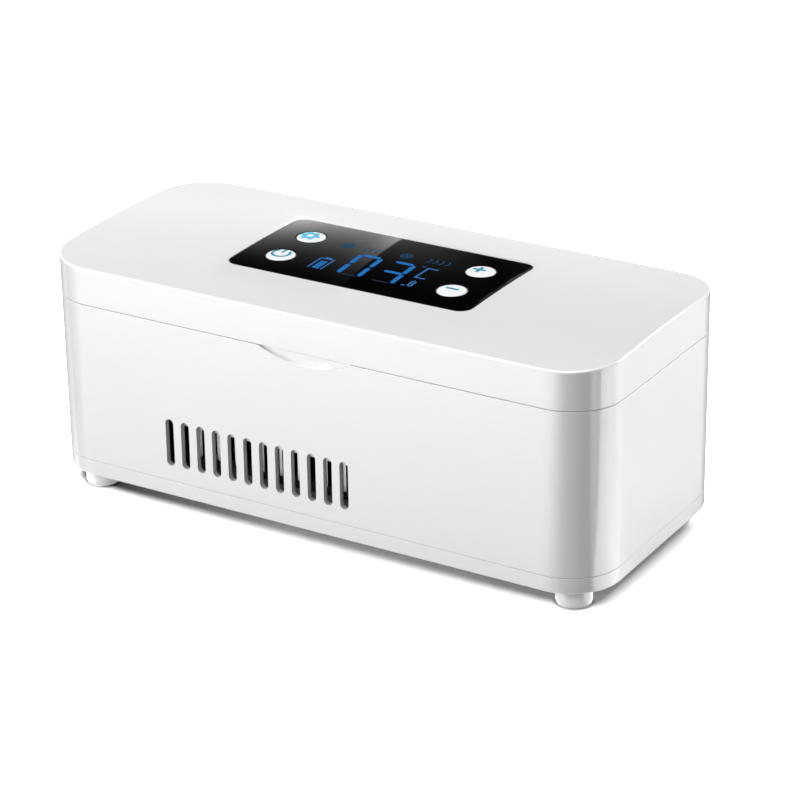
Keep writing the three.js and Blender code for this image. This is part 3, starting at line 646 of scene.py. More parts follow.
def paint_vent_wall_shade(shell):
    """Gives the walls inside the vents a darker grey, a painted shade for the shadow inside the vents."""
    shell.data.materials.append(vent_painted_shade)
    reach = vent_pitch * vent_count / 2
    for face in shell.data.polygons:
        x, y, z = face.center / MM
        inside = abs(x - vent_x) < reach and abs(z - vent_middle) < vent_height / 2
        if inside and half_depth - wall < abs(y) < half_depth and abs(face.normal.y) < side_facing:
            face.material_index = 1


def make_body_shell():
    rings = lower_edge(lower_seam_round, level(shell_bottom)) + upper_edge(lid_seam_round, level(shell_top))
    shell = case_block("body_shell", rings)
    cut(shell, case_block("hollow", straight(wall, shell_bottom - past, shell_top + past)))
    vents = along_y("vents", vent_outlines(), -half_depth - past, half_depth + past)
    notch = along_y("notch", [notch_outline()], -half_depth - past, notch_depth - half_depth)
    jack = along_y("jack", [circle(jack_centre, jack_hole)], 0, half_depth + past)
    cut(shell, vents, notch, jack)
    inner = lid_knuckle_length / 2 + knuckle_gap
    outer = inner + knuckle_length
    for centre in hinge_centres:
        cut(shell, hinge_rod(knuckle_radius + knuckle_room, centre - inner, centre + inner))
        left = hinge_rod(knuckle_radius, centre - outer, centre - inner)
        right = hinge_rod(knuckle_radius, centre + inner, centre + outer)
        join(shell, left, right)
        cut(shell, hinge_rod(pin_bore, centre - outer - past, centre + outer + past))
    dress(shell, "case", "shell_white", "main_shell", edge=moulding_edge)
    paint_vent_wall_shade(shell)


# Bottom cover


def make_bottom_cover():
    rings = lower_edge(cover_edge_round, level(cover_bottom))
    rings += upper_edge(lower_seam_round, level(cover_top))
    cover = case_block("bottom_cover", rings)
    hollow = case_block("hollow", straight(cover_lip, floor_top, cover_top + past))
    fan_x = joint_place("fan_spin").x
    rows = int(grille_radius / grille_pitch)
    slots = []
    for row in range(-rows, rows + 1):
        offset = row * grille_pitch
        length = 2 * math.sqrt(grille_radius**2 - offset**2)
        slots.append(slot(grille_slot, length, (fan_x + offset, 0)))
    cut(cover, hollow, upright("grille", slots, cover_bottom - past, floor_top + past))
    dress(cover, "case", "shell_white", "base_cover", edge=moulding_edge)


# Feet

foot_edge_round = 1.5
foot_recess = 3.2
foot_recess_radius = 3.3
foot_bore = 1.6


def make_foot(corner):
    node = "foot_" + corner
    radius = node_radius(node)
    profile = [(foot_bore, foot_recess), (foot_recess_radius, foot_recess), (foot_recess_radius, 0)]
    for cosine, sine in quarter_turn(2 * edge_steps):
        profile.append((radius - foot_edge_round * (1 - sine), foot_edge_round * (1 - cosine)))
    profile += [(radius, cover_bottom), (foot_bore, cover_bottom)]
    foot = turned("rest_" + node, profile, node_centre(node), closed=True)
    dress(foot, "case", "shell_white", node, edge=foot_edge)


# Lid


def lens_block(name, grow, rings, strips=end_steps):
    """Block with the outline of the lens, which may be grown on all sides."""
    length = lens_length + 2 * grow
    depth = lens_depth + 2 * grow
    return block(name, length, depth, lens_corner + grow, rings, lens_centre, small_steps, strips)


def make_lid_cover():
    rings = lower_edge(lid_seam_round, level(lid_bottom)) + upper_edge(lid_edge_round, crown_height)
    lid = case_block("lid_cover", rings)
    ceiling = upper_edge(lid_edge_round, lambda y: crown_height(y) - lid_top)
    inside = [(lid_wall, level(lid_bottom - past))]
    inside += [(lid_wall + inset, height) for inset, height in ceiling]
    hollow = case_block("hollow", inside)
    cut(hollow, hinge_rod(trough_radius + trough_wall, -case_length, case_length))
    trough = hinge_rod(trough_radius, -case_length, case_length)
    pocket_floor = lambda y: crown_height(y) - lens_thickness - lens_gap
    pocket = lens_block("pocket", lens_gap, [(0, pocket_floor), (0, level(above_lid))])
    window = lens_block("window", -lens_ledge, straight(0, lid_seam, above_lid))
    cut(lid, hollow, trough, pocket, window)
    web_front = hinge_y - knuckle_web / 2
    web_back = hinge_y + knuckle_web / 2
    web = rectangle(web_front, web_back, hinge_z, hinge_z + trough_radius + trough_wall / 2)
    for centre in hinge_centres:
        left = centre - lid_knuckle_length / 2
        right = centre + lid_knuckle_length / 2
        join(lid, along_x("web", [web], left, right), hinge_rod(knuckle_radius, left, right))
        cut(lid, hinge_rod(pin_bore, left - past, right + past))
    dress(lid, "lid", "shell_white", "lid_shell", edge=lid_edge)


# Display lens and buttons

buttons = ("settings", "power", "plus", "minus")
lens_edge_round = 0.25
lens_strips = 60  # strips across the curved face of the lens
lens_sink = 0.05  # lens face below the lid's face
button_flange_thickness = 0.6
button_edge_round = 0.35
button_dome = 0.1
cap_radius = button_hole - button_gap
cap_inner = cap_radius - button_edge_round


def button_centre(button):
    return node_centre("button_" + button)


def lens_height(x, y):
    return crown_height(y) - lens_sink


def make_lens():
    underside = lambda y: crown_height(y) - lens_thickness
    rings = [(0, underside)] + upper_edge(lens_edge_round, lambda y: lens_height(0, y))
    lens = lens_block("display_window", 0, rings, lens_strips)
    holes = [circle(button_centre(button), button_hole) for button in buttons]
    cut(lens, upright("holes", holes, lid_seam, above_lid))
    dress(lens, "lid", "lens_black", "display_lens", edge=lens_edge)


def make_button(button):
    node = "button_" + button
    low, high = node_box(node)
    flange = node_radius(node)
    flange_top = low.z + button_flange_thickness
    profile = [(0, low.z), (flange, low.z), (flange, flange_top), (cap_radius, flange_top)]
    rim = high.z - button_dome
    for cosine, sine in quarter_turn(edge_steps):
        profile.append((cap_inner + button_edge_round * cosine, rim - button_edge_round * (1 - sine)))
    for step in range(1, edge_steps + 1):
        share = 1 - step / edge_steps
        profile.append((cap_inner * share, rim + button_dome * (1 - share**2)))
    cap = turned("cap_" + button, profile, button_centre(button))
    dress(cap, button + "_key", "button_white", node, edge=cap_edge)


# Printed signs and lit signs, as thin plates that lie on a surface

plate_lift = 0.03  # upper face of a plate above the surface
plate_thickness = 0.08


def plates(name, top_at, areas, rings=()):
    """Thin plates on a surface of the height top_at(x, y). A ring has two outlines of as many points."""
    points = []
    faces = []

    def loop(outline, sink):
        points.extend((x, y, top_at(x, y) + plate_lift - sink) for x, y in outline)
        return len(points) - len(outline)

    for outline in areas:
        count = len(outline)
        upper = loop(outline, 0)
        lower = loop(outline, plate_thickness)
        faces.append(tuple(range(upper, upper + count)))
        faces.append(tuple(range(lower + count - 1, lower - 1, -1)))
        faces.extend(quads(lower, upper, count))
    for outer, inner in rings:
        starts = [loop(outer, 0), loop(inner, 0)]
        starts += [loop(inner, plate_thickness), loop(outer, plate_thickness)]
        for low, high in zip(starts, starts[1:] + starts[:1]):
            faces.extend(quads(low, high, len(outer)))
    return object_from(name, points, faces)


def curve(centre, radius, width, start, end, steps=small_steps):
    """Arc of an even width."""
    outer = arc(centre, radius + width / 2, start, end, steps)
    return outer + arc(centre, radius - width / 2, end, start, steps)


def bar(start, end, width):
    """Straight bar between two points."""
    first = Vector(start)
    last = Vector(end)
    along = (last - first).normalized()
    side = Vector((along.y, -along.x)) * width / 2
    return [first + side, last + side, last - side, first - side]


# Signs on the buttons, printed a little behind the middle of each cap

sign_shift = {"settings": (-0.95, 0.8), "power": (-0.6, 1.1), "plus": (-1.1, 1.15), "minus": (-0.55, 1.1)}
gear_teeth = 6
gear_root = 2.7
gear_tip = 3.6
gear_hole = 1.15
gear_steps = 16  # points along each tooth
gear_flat = 1.8  # how much a tooth's wave grows before its tips and roots are cut flat
power_radius = 3.0
power_stroke = 0.95
power_opening = 38  # degrees on each side of the bar
power_steps = 40
power_bar_start = 0.4
sign_arm = 2.3
sign_stroke = 1.25


def gear_outline(centre):
    """Round-toothed wheel, with one lobe for each tooth."""
    points = []
    count = gear_steps * gear_teeth
    middle = (gear_tip + gear_root) / 2
    swing = (gear_tip - gear_root) / 2
    for step in range(count):
        turn = 2 * math.pi * step / count
        wave = max(-1, min(1, gear_flat * math.cos(gear_teeth * turn)))
        radius = middle + swing * wave
        points.append((centre[0] + radius * math.cos(turn), centre[1] + radius * math.sin(turn)))
    return points


def cross_outline(centre, arm, stroke):
    half = stroke / 2
    quarter = [(arm, -half), (arm, half), (half, half)]
    points = []
    for turn in range(4):
        for x, y in quarter:
            for _ in range(turn):
                x, y = -y, x
            points.append((centre[0] + x, centre[1] + y))
    return points


def cap_height(button):
    """Height of a cap's domed top."""
    centre = button_centre(button)
    top = node_box("button_" + button)[1].z
    return lambda x, y: top - button_dome * ((x - centre[0]) ** 2 + (y - centre[1]) ** 2) / cap_inner**2


def sign_outlines(button):
    """Areas and rings of the sign on a button."""
    x, y = Vector(button_centre(button)) + Vector(sign_shift[button])
    if button == "settings":
        outer = gear_outline((x, y))
        return [], [(outer, circle((x, y), gear_hole, len(outer)))]
    if button == "power":
        start = 90 + power_opening
        end = 450 - power_opening
        tip = (x, y + power_radius + power_stroke / 2)
        ring = curve((x, y), power_radius, power_stroke, start, end, power_steps)
        return [ring, bar((x, y + power_bar_start), tip, power_stroke)], []
    if button == "plus":
        return [cross_outline((x, y), sign_arm, sign_stroke)], []
    return [bar((x - sign_arm, y), (x + sign_arm, y), sign_stroke)], []


def make_button_signs():
    for button in buttons:
        ink = print_sky if button == "settings" else print_teal
        sign = plates("sign_" + button, cap_height(button), *sign_outlines(button))
        dress(sign, button + "_key", "button_white", finish=ink)


# Lit figures of the display

digit_stroke = 1.65
digit_gap = 0.3  # at each end of a bar
digit_lean = -0.06  # sideways shift for each millimetre towards the back
digit_bottom = -12.9
digit_top = 5.9
first_digit = (-9.7, -0.4)  # left and right edge
second_digit = (2.9, 12.1)
small_digit = (16.8, 18.8)
small_digit_bottom = -11.4
small_digit_top = -6.4
small_stroke = 0.7
small_gap = 0.1
minus_ends = (15.1, 16.3)
minus_y = -11.1
lit_bars = {
    0: ("top", "upper_left", "upper_right", "lower_left", "lower_right"),
    3: ("top", "middle", "upper_right", "lower_right"),
    8: ("top", "middle", "bottom", "upper_left", "upper_right", "lower_left", "lower_right"),
}


def level_bar(left, right, y, half, gap):
    return [
        (left + gap, y),
        (left + gap + half, y - half),
        (right - gap - half, y - half),
        (right - gap, y),
        (right - gap - half, y + half),
        (left + gap + half, y + half),
    ]


def upright_bar(x, bottom, top, half, gap):
    return [(2 * x - across, along) for along, across in level_bar(bottom, top, x, half, gap)]


def digit_outlines(digit, edges, bottom, top, stroke, gap):
    """Outlines of the lit bars of a seven-bar figure."""
    half = stroke / 2
    left = edges[0] + half
    right = edges[1] - half
    low = bottom + half
    high = top - half
    middle = (low + high) / 2
    bars = {
        "top": level_bar(left, right, high, half, gap),
        "middle": level_bar(left, right, middle, half, gap),
        "bottom": level_bar(left, right, low, half, gap),
        "upper_left": upright_bar(left, middle, high, half, gap),
        "upper_right": upright_bar(right, middle, high, half, gap),
        "lower_left": upright_bar(left, low, middle, half, gap),
        "lower_right": upright_bar(right, low, middle, half, gap),
    }
    lean_from = (bottom + top) / 2
    outlines = []
    for name in lit_bars[digit]:
        outlines.append([(x + digit_lean * (y - lean_from), y) for x, y in bars[name]])
    return outlines


charge_left = -18.3
charge_right = -15.9
charge_bottom = -12.1
charge_bars = 4
charge_bar = 1.35
charge_pitch = 1.65


def make_figures():
    """Temperature in two large figures, and the charge of the battery."""
    areas = []
    for digit, edges in ((0, first_digit), (3, second_digit)):
        areas += digit_outlines(digit, edges, digit_bottom, digit_top, digit_stroke, digit_gap)
    for step in range(charge_bars):
        low = charge_bottom + charge_pitch * step
        areas.append(rectangle(charge_left, charge_right, low, low + charge_bar))
    dress(plates("display_figures", lens_height, areas), "lid", "display_grey", finish=digit_blue)


# Fine signs: small figure, letter of the Celsius scale and outline of the battery

letter_left = 15.6
letter_right = 19.6
letter_bottom = -4.0
letter_top = 5.4
letter_stroke = 0.7
battery_left = -20.0
battery_right = -14.5
battery_bottom = -12.2
battery_top = -3.4
battery_stroke = 0.55
terminal_left = -18.5
terminal_right = -16.3
terminal_height = 1.0


def make_outlines():
    areas = digit_outlines(8, small_digit, small_digit_bottom, small_digit_top, small_stroke, small_gap)
    areas.append(bar((minus_ends[0], minus_y), (minus_ends[1], minus_y), small_stroke))
    inner = letter_left + letter_stroke
    inner_left = battery_left + battery_stroke
    inner_right = battery_right - battery_stroke
    boxes = (
        (letter_left, inner, letter_bottom, letter_top),
        (inner, letter_right, letter_top - letter_stroke, letter_top),
        (inner, letter_right, letter_bottom, letter_bottom + letter_stroke),
        (battery_left, inner_left, battery_bottom, battery_top),
        (inner_right, battery_right, battery_bottom, battery_top),
        (inner_left, inner_right, battery_top - battery_stroke, battery_top),
        (terminal_left, terminal_right, battery_top, battery_top + terminal_height),
    )
    areas += [rectangle(*box) for box in boxes]
    dress(plates("display_outlines", lens_height, areas), "lid", "display_grey", finish=fine_blue)


# Dimmer signs along the back of the display, degree ring, and the unlit bars of the large figures

degree_centre = (13.9, 5.7)
degree_radius = 0.7
degree_hole = 0.35
snow_centre = (-18.0, 10.3)
snow_arm = 2.6
snow_arms = 6
snow_half_stroke = 0.26
snow_twig_root = 1.4
snow_twig_gap = 0.4
snow_twig = 0.8
snow_twig_lean = 45
dial_centre = (3.9, 11.3)
dial_radius = 2.2
dial_hub = 0.7
dial_rays = 6
dial_ray_start = 1.0
dial_ray_end = 1.6
dial_stroke = 0.45
wave_radius = 2.2
wave_stroke = 0.5
wave_reach = 55  # degrees above and below the middle of a wave
left_waves = (-11.2, -9.2, -7.1)
left_waves_y = 10.3
right_waves = (13.1, 15.4, 17.7, 20.0)
right_waves_y = 11.4
unlit_bars = ((-8.0, -1.6), (4.6, 10.8))
unlit_y = -12.0
unlit_stroke = 0.6


def heading(degrees):
    turn = math.radians(degrees)
    return Vector((math.cos(turn), math.sin(turn)))


def snowflake():
    """Star with a pair of twigs on each arm."""
    centre = Vector(snow_centre)
    pitch = 360 / snow_arms
    width = 2 * snow_half_stroke
    twigs = []
    star = []
    for arm in range(snow_arms):
        direction = pitch * (arm + 0.5)
        along = heading(direction)
        side = Vector((-along.y, along.x)) * snow_half_stroke
        tip = centre + along * snow_arm
        star += [tip - side, tip + side, centre + heading(direction + pitch / 2) * width]
        for lean in (-snow_twig_lean, snow_twig_lean):
            twig = heading(direction + lean)
            start = centre + along * snow_twig_root + twig * snow_twig_gap
            twigs.append(bar(start, start + twig * snow_twig, width))
    return twigs + [star]


def dial_face():
    """Hub of the dial and the rays round it."""
    centre = Vector(dial_centre)
    areas = [circle(dial_centre, dial_hub)]
    for ray in range(dial_rays):
        along = heading(360 * ray / dial_rays)
        areas.append(bar(centre + along * dial_ray_start, centre + along * dial_ray_end, dial_stroke))
    return areas


def make_symbols():
    areas = snowflake() + dial_face()
    for x in left_waves:
        centre = (x + wave_radius, left_waves_y)
        areas.append(curve(centre, wave_radius, wave_stroke, 180 - wave_reach, 180 + wave_reach))
    for x in right_waves:
        centre = (x - wave_radius, right_waves_y)
        areas.append(curve(centre, wave_radius, wave_stroke, -wave_reach, wave_reach))
    rings = [
        (circle(dial_centre, dial_radius), circle(dial_centre, dial_radius - dial_stroke)),
        (circle(degree_centre, degree_radius), circle(degree_centre, degree_hole)),
    ]
    dress(plates("display_symbols", lens_height, areas, rings), "lid", "display_grey", finish=symbol_blue)


def make_unlit_bars():
    areas = [bar((left, unlit_y), (right, unlit_y), unlit_stroke) for left, right in unlit_bars]
    dress(plates("display_unlit_bars", lens_height, areas), "lid", "display_grey", finish=unlit_grey)


# Chamber: deck, tray, liner and gasket

fit = 0.3  # between the deck or the liner and the wall round it
deck_corner = corner_radius - wall - fit
liner_corner = corner_radius - lid_wall - fit
liner_length = case_length - 2 * (lid_wall + fit)
liner_depth = case_depth - 2 * (lid_wall + fit)
tray_length, tray_depth = (tray_high - tray_low).xy
chamber_length = tray_length - 2 * tray_wall
chamber_depth = tray_depth - 2 * tray_wall
rim_round = 0.4
gasket_inner = 3  # inner side of the gasket from the edge of the chamber
gasket_outer = (gasket_high.x - gasket_low.x - chamber_length) / 2
gasket_foot = 0.4  # share of the gasket's height above the round of its lip
sides = ("left", "right")
screw_numbers = (1, 2, 3, 4)


def hoop(name, section):
    """Closed ring along the edge of the chamber. The section is a loop of (outward reach, height)."""
    points = []
    count = 0
    for reach, height in section:
        length = chamber_length + 2 * reach
        depth = chamber_depth + 2 * reach
        outline = rounded_rectangle(length, depth, chamber_corner + reach, small_steps)
        count = len(outline)
        points += [(x, y, height) for x, y in outline]
    faces = []
    for ring in range(len(section)):
        faces += quads(ring * count, (ring + 1) % len(section) * count, count)
    return object_from(name, points, faces)


def magnet_holes(body):
    return [circle(node_centre("%s_magnet_%s" % (body, side)), magnet_hole) for side in sides]


def make_deck():
    length, depth = (deck_high - deck_low).xy
    rings = [(0, level(deck_low.z))] + upper_edge(rim_round, level(deck_high.z))
    deck = block("chamber_rim", length, depth, deck_corner, rings)
    bottom = deck_low.z - past
    top = deck_high.z + past
    opening = block("opening", chamber_length, chamber_depth, chamber_corner, straight(0, bottom, top))
    cut(deck, opening, upright("magnet_holes", magnet_holes("case"), bottom, top))
    dress(deck, "case", "deck_white", "chamber_deck", edge=deck_edge)


def make_tray():
    outside = straight(0, tray_low.z, tray_high.z)
    tray = block("chamber_tray", tray_length, tray_depth, chamber_corner + tray_wall, outside)
    inside = lower_edge(tray_floor_round, level(tray_low.z + tray_wall)) + [(0, level(tray_high.z + past))]
    cut(tray, block("chamber", chamber_length, chamber_depth, chamber_corner, inside))
    dress(tray, "case", "aluminium", "inner_tray", edge=metal_edge)


def make_liner():
    rings = lower_edge(rim_round, level(liner_low.z)) + [(0, level(liner_high.z))]
    liner = block("lid_inner_panel", liner_length, liner_depth, liner_corner, rings)
    keep_out = hinge_rod(trough_radius + trough_wall + fit, -case_length, case_length)
    bottom = liner_low.z - past
    section = rectangle(gasket_inner - fit, gasket_outer + fit, bottom, liner_low.z + gasket_groove)
    cut(liner, keep_out, hoop("groove", section))
    holes = magnet_holes("lid")
    holes += [circle(node_centre("liner_screw_%d" % number), screw_hole) for number in screw_numbers]
    cut(liner, upright("holes", holes, bottom, liner_high.z + past))
    dress(liner, "lid", "deck_white", "lid_liner", edge=moulding_edge)


def make_gasket():
    """Soft seal with a round lip that faces the deck."""
    middle = (gasket_inner + gasket_outer) / 2
    half = (gasket_outer - gasket_inner) / 2
    height = gasket_high.z - gasket_low.z
    section = [(gasket_inner, gasket_high.z)]
    for step in range(2 * edge_steps + 1):
        turn = math.pi * (1 + step / (2 * edge_steps))
        drop = height * (gasket_foot - (1 - gasket_foot) * math.sin(turn))
        section.append((middle + half * math.cos(turn), gasket_high.z - drop))
    section.append((gasket_outer, gasket_high.z))
    gasket = hoop("lid_seal", section)
    gasket.data.shade_smooth()
    dress(gasket, "lid", "rubber", "lid_gasket")


# Small metal pieces

screw_chamfer = 0.3
screw_sides = 32
recess_arm = 0.6  # share of the head's radius
recess_stroke = 0.55
recess_depth = 0.8
base_screw = (2, 1.3)  # height of the head and radius of the shank
liner_screw = (1, 1)
magnet_chamfer = 0.25
magnet_sides = 48


def make_screw(node, body, head_height, shank):
    """Screw whose head faces down, with a cross recess."""
    low, high = node_box(node)
    head = node_radius(node)
    centre = node_centre(node)
    neck = low.z + head_height
    profile = [(0, low.z), (head - screw_chamfer, low.z), (head, low.z + screw_chamfer), (head, neck)]
    profile += [(shank, neck), (shank, high.z), (0, high.z)]
    screw = turned("driven_" + node, profile, centre, sides=screw_sides)
    cross = cross_outline(centre, head * recess_arm, recess_stroke)
    cut(screw, upright("recess", [cross], low.z - past, low.z + recess_depth))
    dress(screw, body, "steel", node, edge=screw_edge, segments=small_segments)


def make_magnet(node, body):
    low, high = node_box(node)
    radius = node_radius(node)
    face = radius - magnet_chamfer
    profile = [(0, low.z), (face, low.z), (radius, low.z + magnet_chamfer)]
    profile += [(radius, high.z - magnet_chamfer), (face, high.z), (0, high.z)]
    magnet = turned("disc_" + node, profile, node_centre(node), sides=magnet_sides)
    dress(magnet, body, "magnet", node, edge=magnet_edge, segments=small_segments)


def make_hinge_pin(side):
    node = "hinge_pin_" + side
    low, high = node_box(node)
    pin = hinge_rod((high.z - low.z) / 2, low.x, high.x)
    pin.name = "rod_" + node
    dress(pin, "case", "steel", node, edge=metal_edge)


# Power jack

jack_radius = 3.6
jack_bore = 2.6
jack_depth = 9
jack_flange_back = 2.3  # flange face from the back of the case
jack_flange_thickness = 1.6
jack_pin_radius = 0.9
jack_pin_sides = 24
jack_pin_end = 1.3  # pin tip from the back of the case


def make_jack():
    flange_back = half_depth - jack_flange_back
    flange_front = flange_back - jack_flange_thickness
    barrel = along_y("jack_barrel", [circle(jack_centre, jack_radius)], jack_low.y, jack_high.y)
    flange = circle(jack_centre, node_radius("dc_jack"))
    join(barrel, along_y("flange", [flange], flange_front, flange_back))
    socket_end = jack_high.y - jack_depth
    cut(barrel, along_y("socket", [circle(jack_centre, jack_bore)], socket_end, jack_high.y + past))
    dress(barrel, "case", "black_plastic", "dc_jack", edge=metal_edge)
    pin_outline = circle(jack_centre, jack_pin_radius, jack_pin_sides)
    pin = along_y("jack_contact", [pin_outline], socket_end, half_depth - jack_pin_end)
    dress(pin, "case", "steel", edge=pin_edge)


# Solids that keep their own mesh

FLAT_ANGLE = math.radians(1)


def finish_solids():
    """Gives each solid that still shows its finish, and takes the hard edge off it."""
    for row in frame["record"]["subparts"]:
        solid = frame["nodes"][row["node"]]
        finish = finish_of_slot[row["material_slot"]]
        if row["node"] == "heat_sink":
            finish = black_anodised
        for place in solid.material_slots:
            place.material = finish
        flat = solid.modifiers.new("flat_faces", "DECIMATE")
        flat.decimate_type = "DISSOLVE"
        flat.angle_limit = FLAT_ANGLE
        round_edges(solid, solid_edge, small_segments)


# Stage

floor_reach = 4000
floor_seen = 2.65  # shade of the open floor in the picture
floor_bounce = 0.42  # shade of the floor for the light that it throws back
floor_roughness = 0.3
floor_gloss = 0.3
world_fill = 0.2
camera_place = (481.964, -782.187, 444.655)
camera_right = (0.85801833, 0.51343221, -0.01385296)
camera_up = (-0.19774899, 0.35511843, 0.91366637)
camera_lens = 136.13
camera_sensor = 36
case_middle = (0, 0, 40)
to_millimetres = (1 / MM, 1 / MM, 1 / MM)

# Place, side and watts of each square light
lamps = {
    "front_left_box": ((-1500, -1600, 1000), 1280, 35.5),
    "back_right_box": ((1000, 950, 500), 600, 10.2),
    "overhead_box": ((-150, -50, 1500), 1100, 13.5),
}

# Painted shadow on the floor: its colour is dark inside the outline of the case, which reaches further left and
# right for it, and in a ring at the feet
shadow_start = -5
shadow_end = -10.5
shadow_left = 7
shadow_right = 3.5
shadow_shades = ((-85, 0.04), (-15, 0.37), (50, 0.35), (100, 0.2))  # places along X and shades
foot_shadow = 1
foot_shade = 0.45

# Shade of the floor in mirrors, by the bearing in degrees of its place from each front corner of the case
mirror_shade = 2.6
right_shares = (
    (-180, 0.89), (-100, 0.88), (-74, 0.02), (-29.5, 0.02), (-21, 1.0), (13, 1.1), (31, 0.8), (46, 0.6),
    (68, 0.58), (72, 0.45), (77, 0.2), (100, 0.06), (118, 0.4), (180, 0.89),
)
left_shares = (
    (-180, 0.24), (-171, 0.28), (-143, 0.67), (-122, 0.95), (-105, 1), (90, 1), (132, 0.07), (180, 0.24),
)

# The same by the distance: a painted shade that makes it dimmer close to the front of the case, and painted light
# round the feet, both seen only in mirrors
mirror_near = 16
mirror_far = 165
mirror_near_share = 0.36
feet_reach = 5
feet_end = 9
feet_share = 0.8


def floor_place(graph):
    """Place of a floor point in millimetres."""
    return graph.vector("MULTIPLY", graph.add("NewGeometry", {}).outputs["Position"], to_millimetres)


def beyond_corner(graph, corner, middle=(0, 0, 0)):
    """Way of a floor point from a corner of a rectangle, as if it were in the quarter of that corner."""
    centred = graph.vector("SUBTRACT", floor_place(graph), middle)
    return graph.vector("SUBTRACT", graph.vector("ABSOLUTE", centred), corner)


def distance_from_case(graph):
    """Distance of a floor point from the outline of the case with longer ends, below zero inside it."""
    longer = (shadow_left + shadow_right) / 2
    core = (half_length + longer - corner_radius, half_depth - corner_radius, 0)
    beyond = beyond_corner(graph, core, ((shadow_right - shadow_left) / 2, 0, 0))
    return graph.reckon("SUBTRACT", graph.length(graph.vector("MAXIMUM", beyond)), corner_radius)


def distance_from_feet(graph):
    node = "foot_rear_right"
    beyond = beyond_corner(graph, (*node_centre(node), 0))
    return graph.reckon("SUBTRACT", graph.length(beyond), node_radius(node))


def shadow_under_case(graph):
    """Share of its full colour that the floor keeps under the case and at the feet, a painted shadow."""
    deepest = graph.read_off(graph.axes(floor_place(graph))["X"], shadow_shades)
    edge = graph.ramp(distance_from_case(graph), shadow_end, shadow_start, 0, 1, "SMOOTHSTEP")
    feet = graph.ramp(distance_from_feet(graph), 0, foot_shadow, foot_shade, 1)
    return graph.reckon("MULTIPLY", graph.mixed(edge, deepest, 1), feet)


def share_by_bearing(graph, x, y, shares):
    """Share that goes with the bearing of a floor point from another one."""
    way = graph.axes(graph.vector("SUBTRACT", floor_place(graph), (x, y, 0)))
    bearing = graph.reckon("ARCTAN2", way["Y"], way["X"])
    return graph.read_off(graph.reckon("MULTIPLY", bearing, math.degrees(1)), shares)


def mirrored_floor(graph):
    """Shade that the floor has for a mirrored ray."""
    x = half_length - corner_radius
    y = corner_radius - half_depth
    right = share_by_bearing(graph, x, y, right_shares)
    left = share_by_bearing(graph, -x, y, left_shares)
    across = graph.axes(floor_place(graph))["Y"]
    fade = graph.ramp(across, -half_depth - mirror_far, -half_depth - mirror_near, 1, mirror_near_share)
    front = graph.reckon("MAXIMUM", fade, graph.reckon("GREATER_THAN", across, -half_depth))
    share = graph.reckon("MULTIPLY", front, graph.reckon("MULTIPLY", right, left))
    feet = graph.ramp(distance_from_feet(graph), feet_reach, feet_end, feet_share, 0)
    return graph.reckon("MULTIPLY", graph.reckon("ADD", share, feet), mirror_shade)


def make_floor():
    corners = [(x, y, 0) for x, y in rectangle(-floor_reach, floor_reach, -floor_reach, floor_reach)]
    floor = object_from("studio_floor", corners, [(0, 1, 2, 3)])
    material = bpy.data.materials.new("studio_floor")
    graph = Graph(material)
    shader = graph.nodes["Principled BSDF"].inputs
    shader["Roughness"].default_value = floor_roughness
    shader["Specular IOR Level"].default_value = floor_gloss
    path = graph.add("LightPath", {}).outputs
    seen = graph.reckon("MULTIPLY", shadow_under_case(graph), floor_seen)
    plain = graph.mixed(path["Is Camera Ray"], floor_bounce, seen)
    graph.feed(shader["Base Color"], graph.mixed(path["Is Glossy Ray"], plain, mirrored_floor(graph)))
    floor.data.materials.append(material)


def make_world():
    """White for the camera and for mirrors, and a soft fill for everything else."""
    world = bpy.data.worlds.new("studio")
    bpy.context.scene.world = world
    graph = Graph(world)
    background = graph.nodes["Background"].inputs
    background["Color"].default_value = (1, 1, 1, 1)
    path = graph.add("LightPath", {}).outputs
    seen = graph.reckon("MAXIMUM", path["Is Camera Ray"], path["Is Glossy Ray"])
    graph.feed(background["Strength"], graph.ramp(seen, 0, 1, world_fill, 1))


def make_light(name, place, side, watts):
    """Square light that looks at the case."""
    light = bpy.data.lights.new(name, "AREA")
    light.size = side * MM
    light.energy = watts
    lamp = bpy.data.objects.new(name, light)
    lamp.location = Vector(place) * MM
    lamp.rotation_euler = (Vector(case_middle) - Vector(place)).to_track_quat("-Z", "Y").to_euler()
    lamp.visible_camera = False
    bpy.context.scene.collection.objects.link(lamp)


# Cards behind the case that only mirrors see. The lid mirrors a bright one, and the lens a dark one in
# front of it, with a glow on its left half. Corners are (x, z). The light fades out between two heights.
cards = {
    "bright_card": {
        "y": 640,
        "corners": rectangle(-900, -60, 120, 760),
        "strength": 0.72,
        "fade": (118.75, 343.75),
        "bend": 1,
        "lean": 0.3875,  # drop of the fade for each millimetre to the right
    },
    "dark_card": {
        "y": 620,
        "corners": ((-422.5, 288), (-265.5, 288), (-338.5, 450), (-510.5, 450)),
        "strength": 0.28,
        "fade": (290, 470),
        "bend": 4,
        "shares": ((-356, 1), (-300, 0.06)),  # places along X and shares of the light
    },
    "glow_card": {
        "y": 600,
        "corners": ((-409.5, 282), (-341.5, 282), (-430.4, 480), (-520.5, 480)),
        "strength": 2.9,
        "fade": (283, 483),
        "bend": 4,
        "slant": 0.5,  # move of those places to the left for each millimetre above the start of the fade
        "shares": (
            (-412, 1), (-400, 0.75), (-390, 0.545), (-379, 0.455),
            (-364, 0.4), (-355, 0.42), (-348, 0.545), (-341, 0.68),
        ),
    },
}


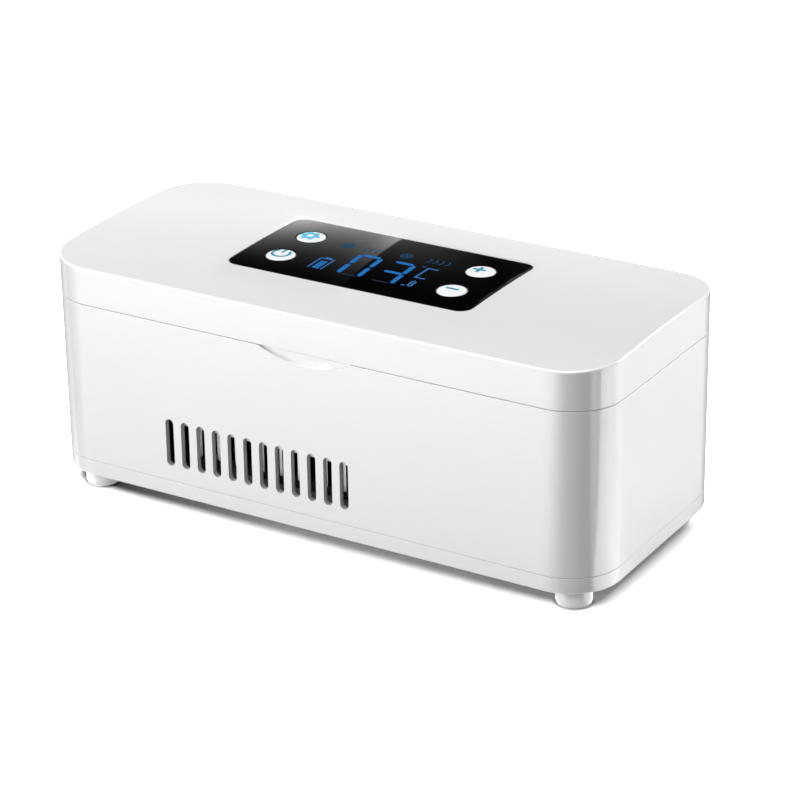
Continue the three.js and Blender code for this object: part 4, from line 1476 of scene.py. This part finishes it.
def make_card(name, y, corners, strength, fade, bend, lean=0, slant=0, shares=()):
    """Card whose light fades upwards and changes along X, and that shows in mirrors only."""
    card = object_from(name, [(x, y, z) for x, z in corners], [(0, 1, 2, 3)])
    material = bpy.data.materials.new(name)
    graph = Graph(material)
    graph.nodes.remove(graph.nodes["Principled BSDF"])
    place = graph.vector("MULTIPLY", graph.add("TexCoord", {}).outputs["Object"], to_millimetres)
    axes = graph.axes(place)
    height = graph.reckon("ADD", axes["Z"], graph.reckon("MULTIPLY", axes["X"], lean))
    share = graph.reckon("POWER", graph.ramp(height, *fade, 1, 0), bend)
    if shares:
        rise = graph.reckon("SUBTRACT", axes["Z"], fade[0])
        along = graph.reckon("ADD", axes["X"], graph.reckon("MULTIPLY", rise, slant))
        share = graph.reckon("MULTIPLY", share, graph.read_off(along, shares))
    emission = graph.add("Emission", {"Strength": graph.reckon("MULTIPLY", share, strength)})
    graph.feed(graph.nodes["Material Output"].inputs["Surface"], emission.outputs["Emission"])
    card.data.materials.append(material)
    card.visible_camera = False
    card.visible_diffuse = False
    card.visible_shadow = False
    card.visible_transmission = False


def make_camera():
    camera = bpy.data.cameras.new("camera")
    camera.sensor_width = camera_sensor
    camera.lens = camera_lens
    holder = bpy.data.objects.new("camera", camera)
    right = Vector(camera_right)
    up = Vector(camera_up)
    turn = Matrix((right, up, right.cross(up))).transposed().to_4x4()
    holder.matrix_world = Matrix.Translation(Vector(camera_place) * MM) @ turn
    bpy.context.scene.collection.objects.link(holder)
    bpy.context.scene.camera = holder


# Everything together

bpy.context.scene.view_settings.view_transform = "Standard"
make_camera()
finish_solids()
make_body_shell()
make_bottom_cover()
for corner in ("front_left", "front_right", "rear_left", "rear_right"):
    make_foot(corner)
make_lid_cover()
make_lens()
for button in buttons:
    make_button(button)
make_button_signs()
make_figures()
make_outlines()
make_symbols()
make_unlit_bars()
make_deck()
make_tray()
make_liner()
make_gasket()
for number in screw_numbers:
    make_screw("base_screw_%d" % number, "case", *base_screw)
    make_screw("liner_screw_%d" % number, "lid", *liner_screw)
for side in sides:
    make_magnet("case_magnet_" + side, "case")
    make_magnet("lid_magnet_" + side, "lid")
    make_hinge_pin(side)
make_jack()
make_floor()
make_world()
for name, lamp in lamps.items():
    make_light(name, *lamp)
for name, card in cards.items():
    make_card(name, **card)
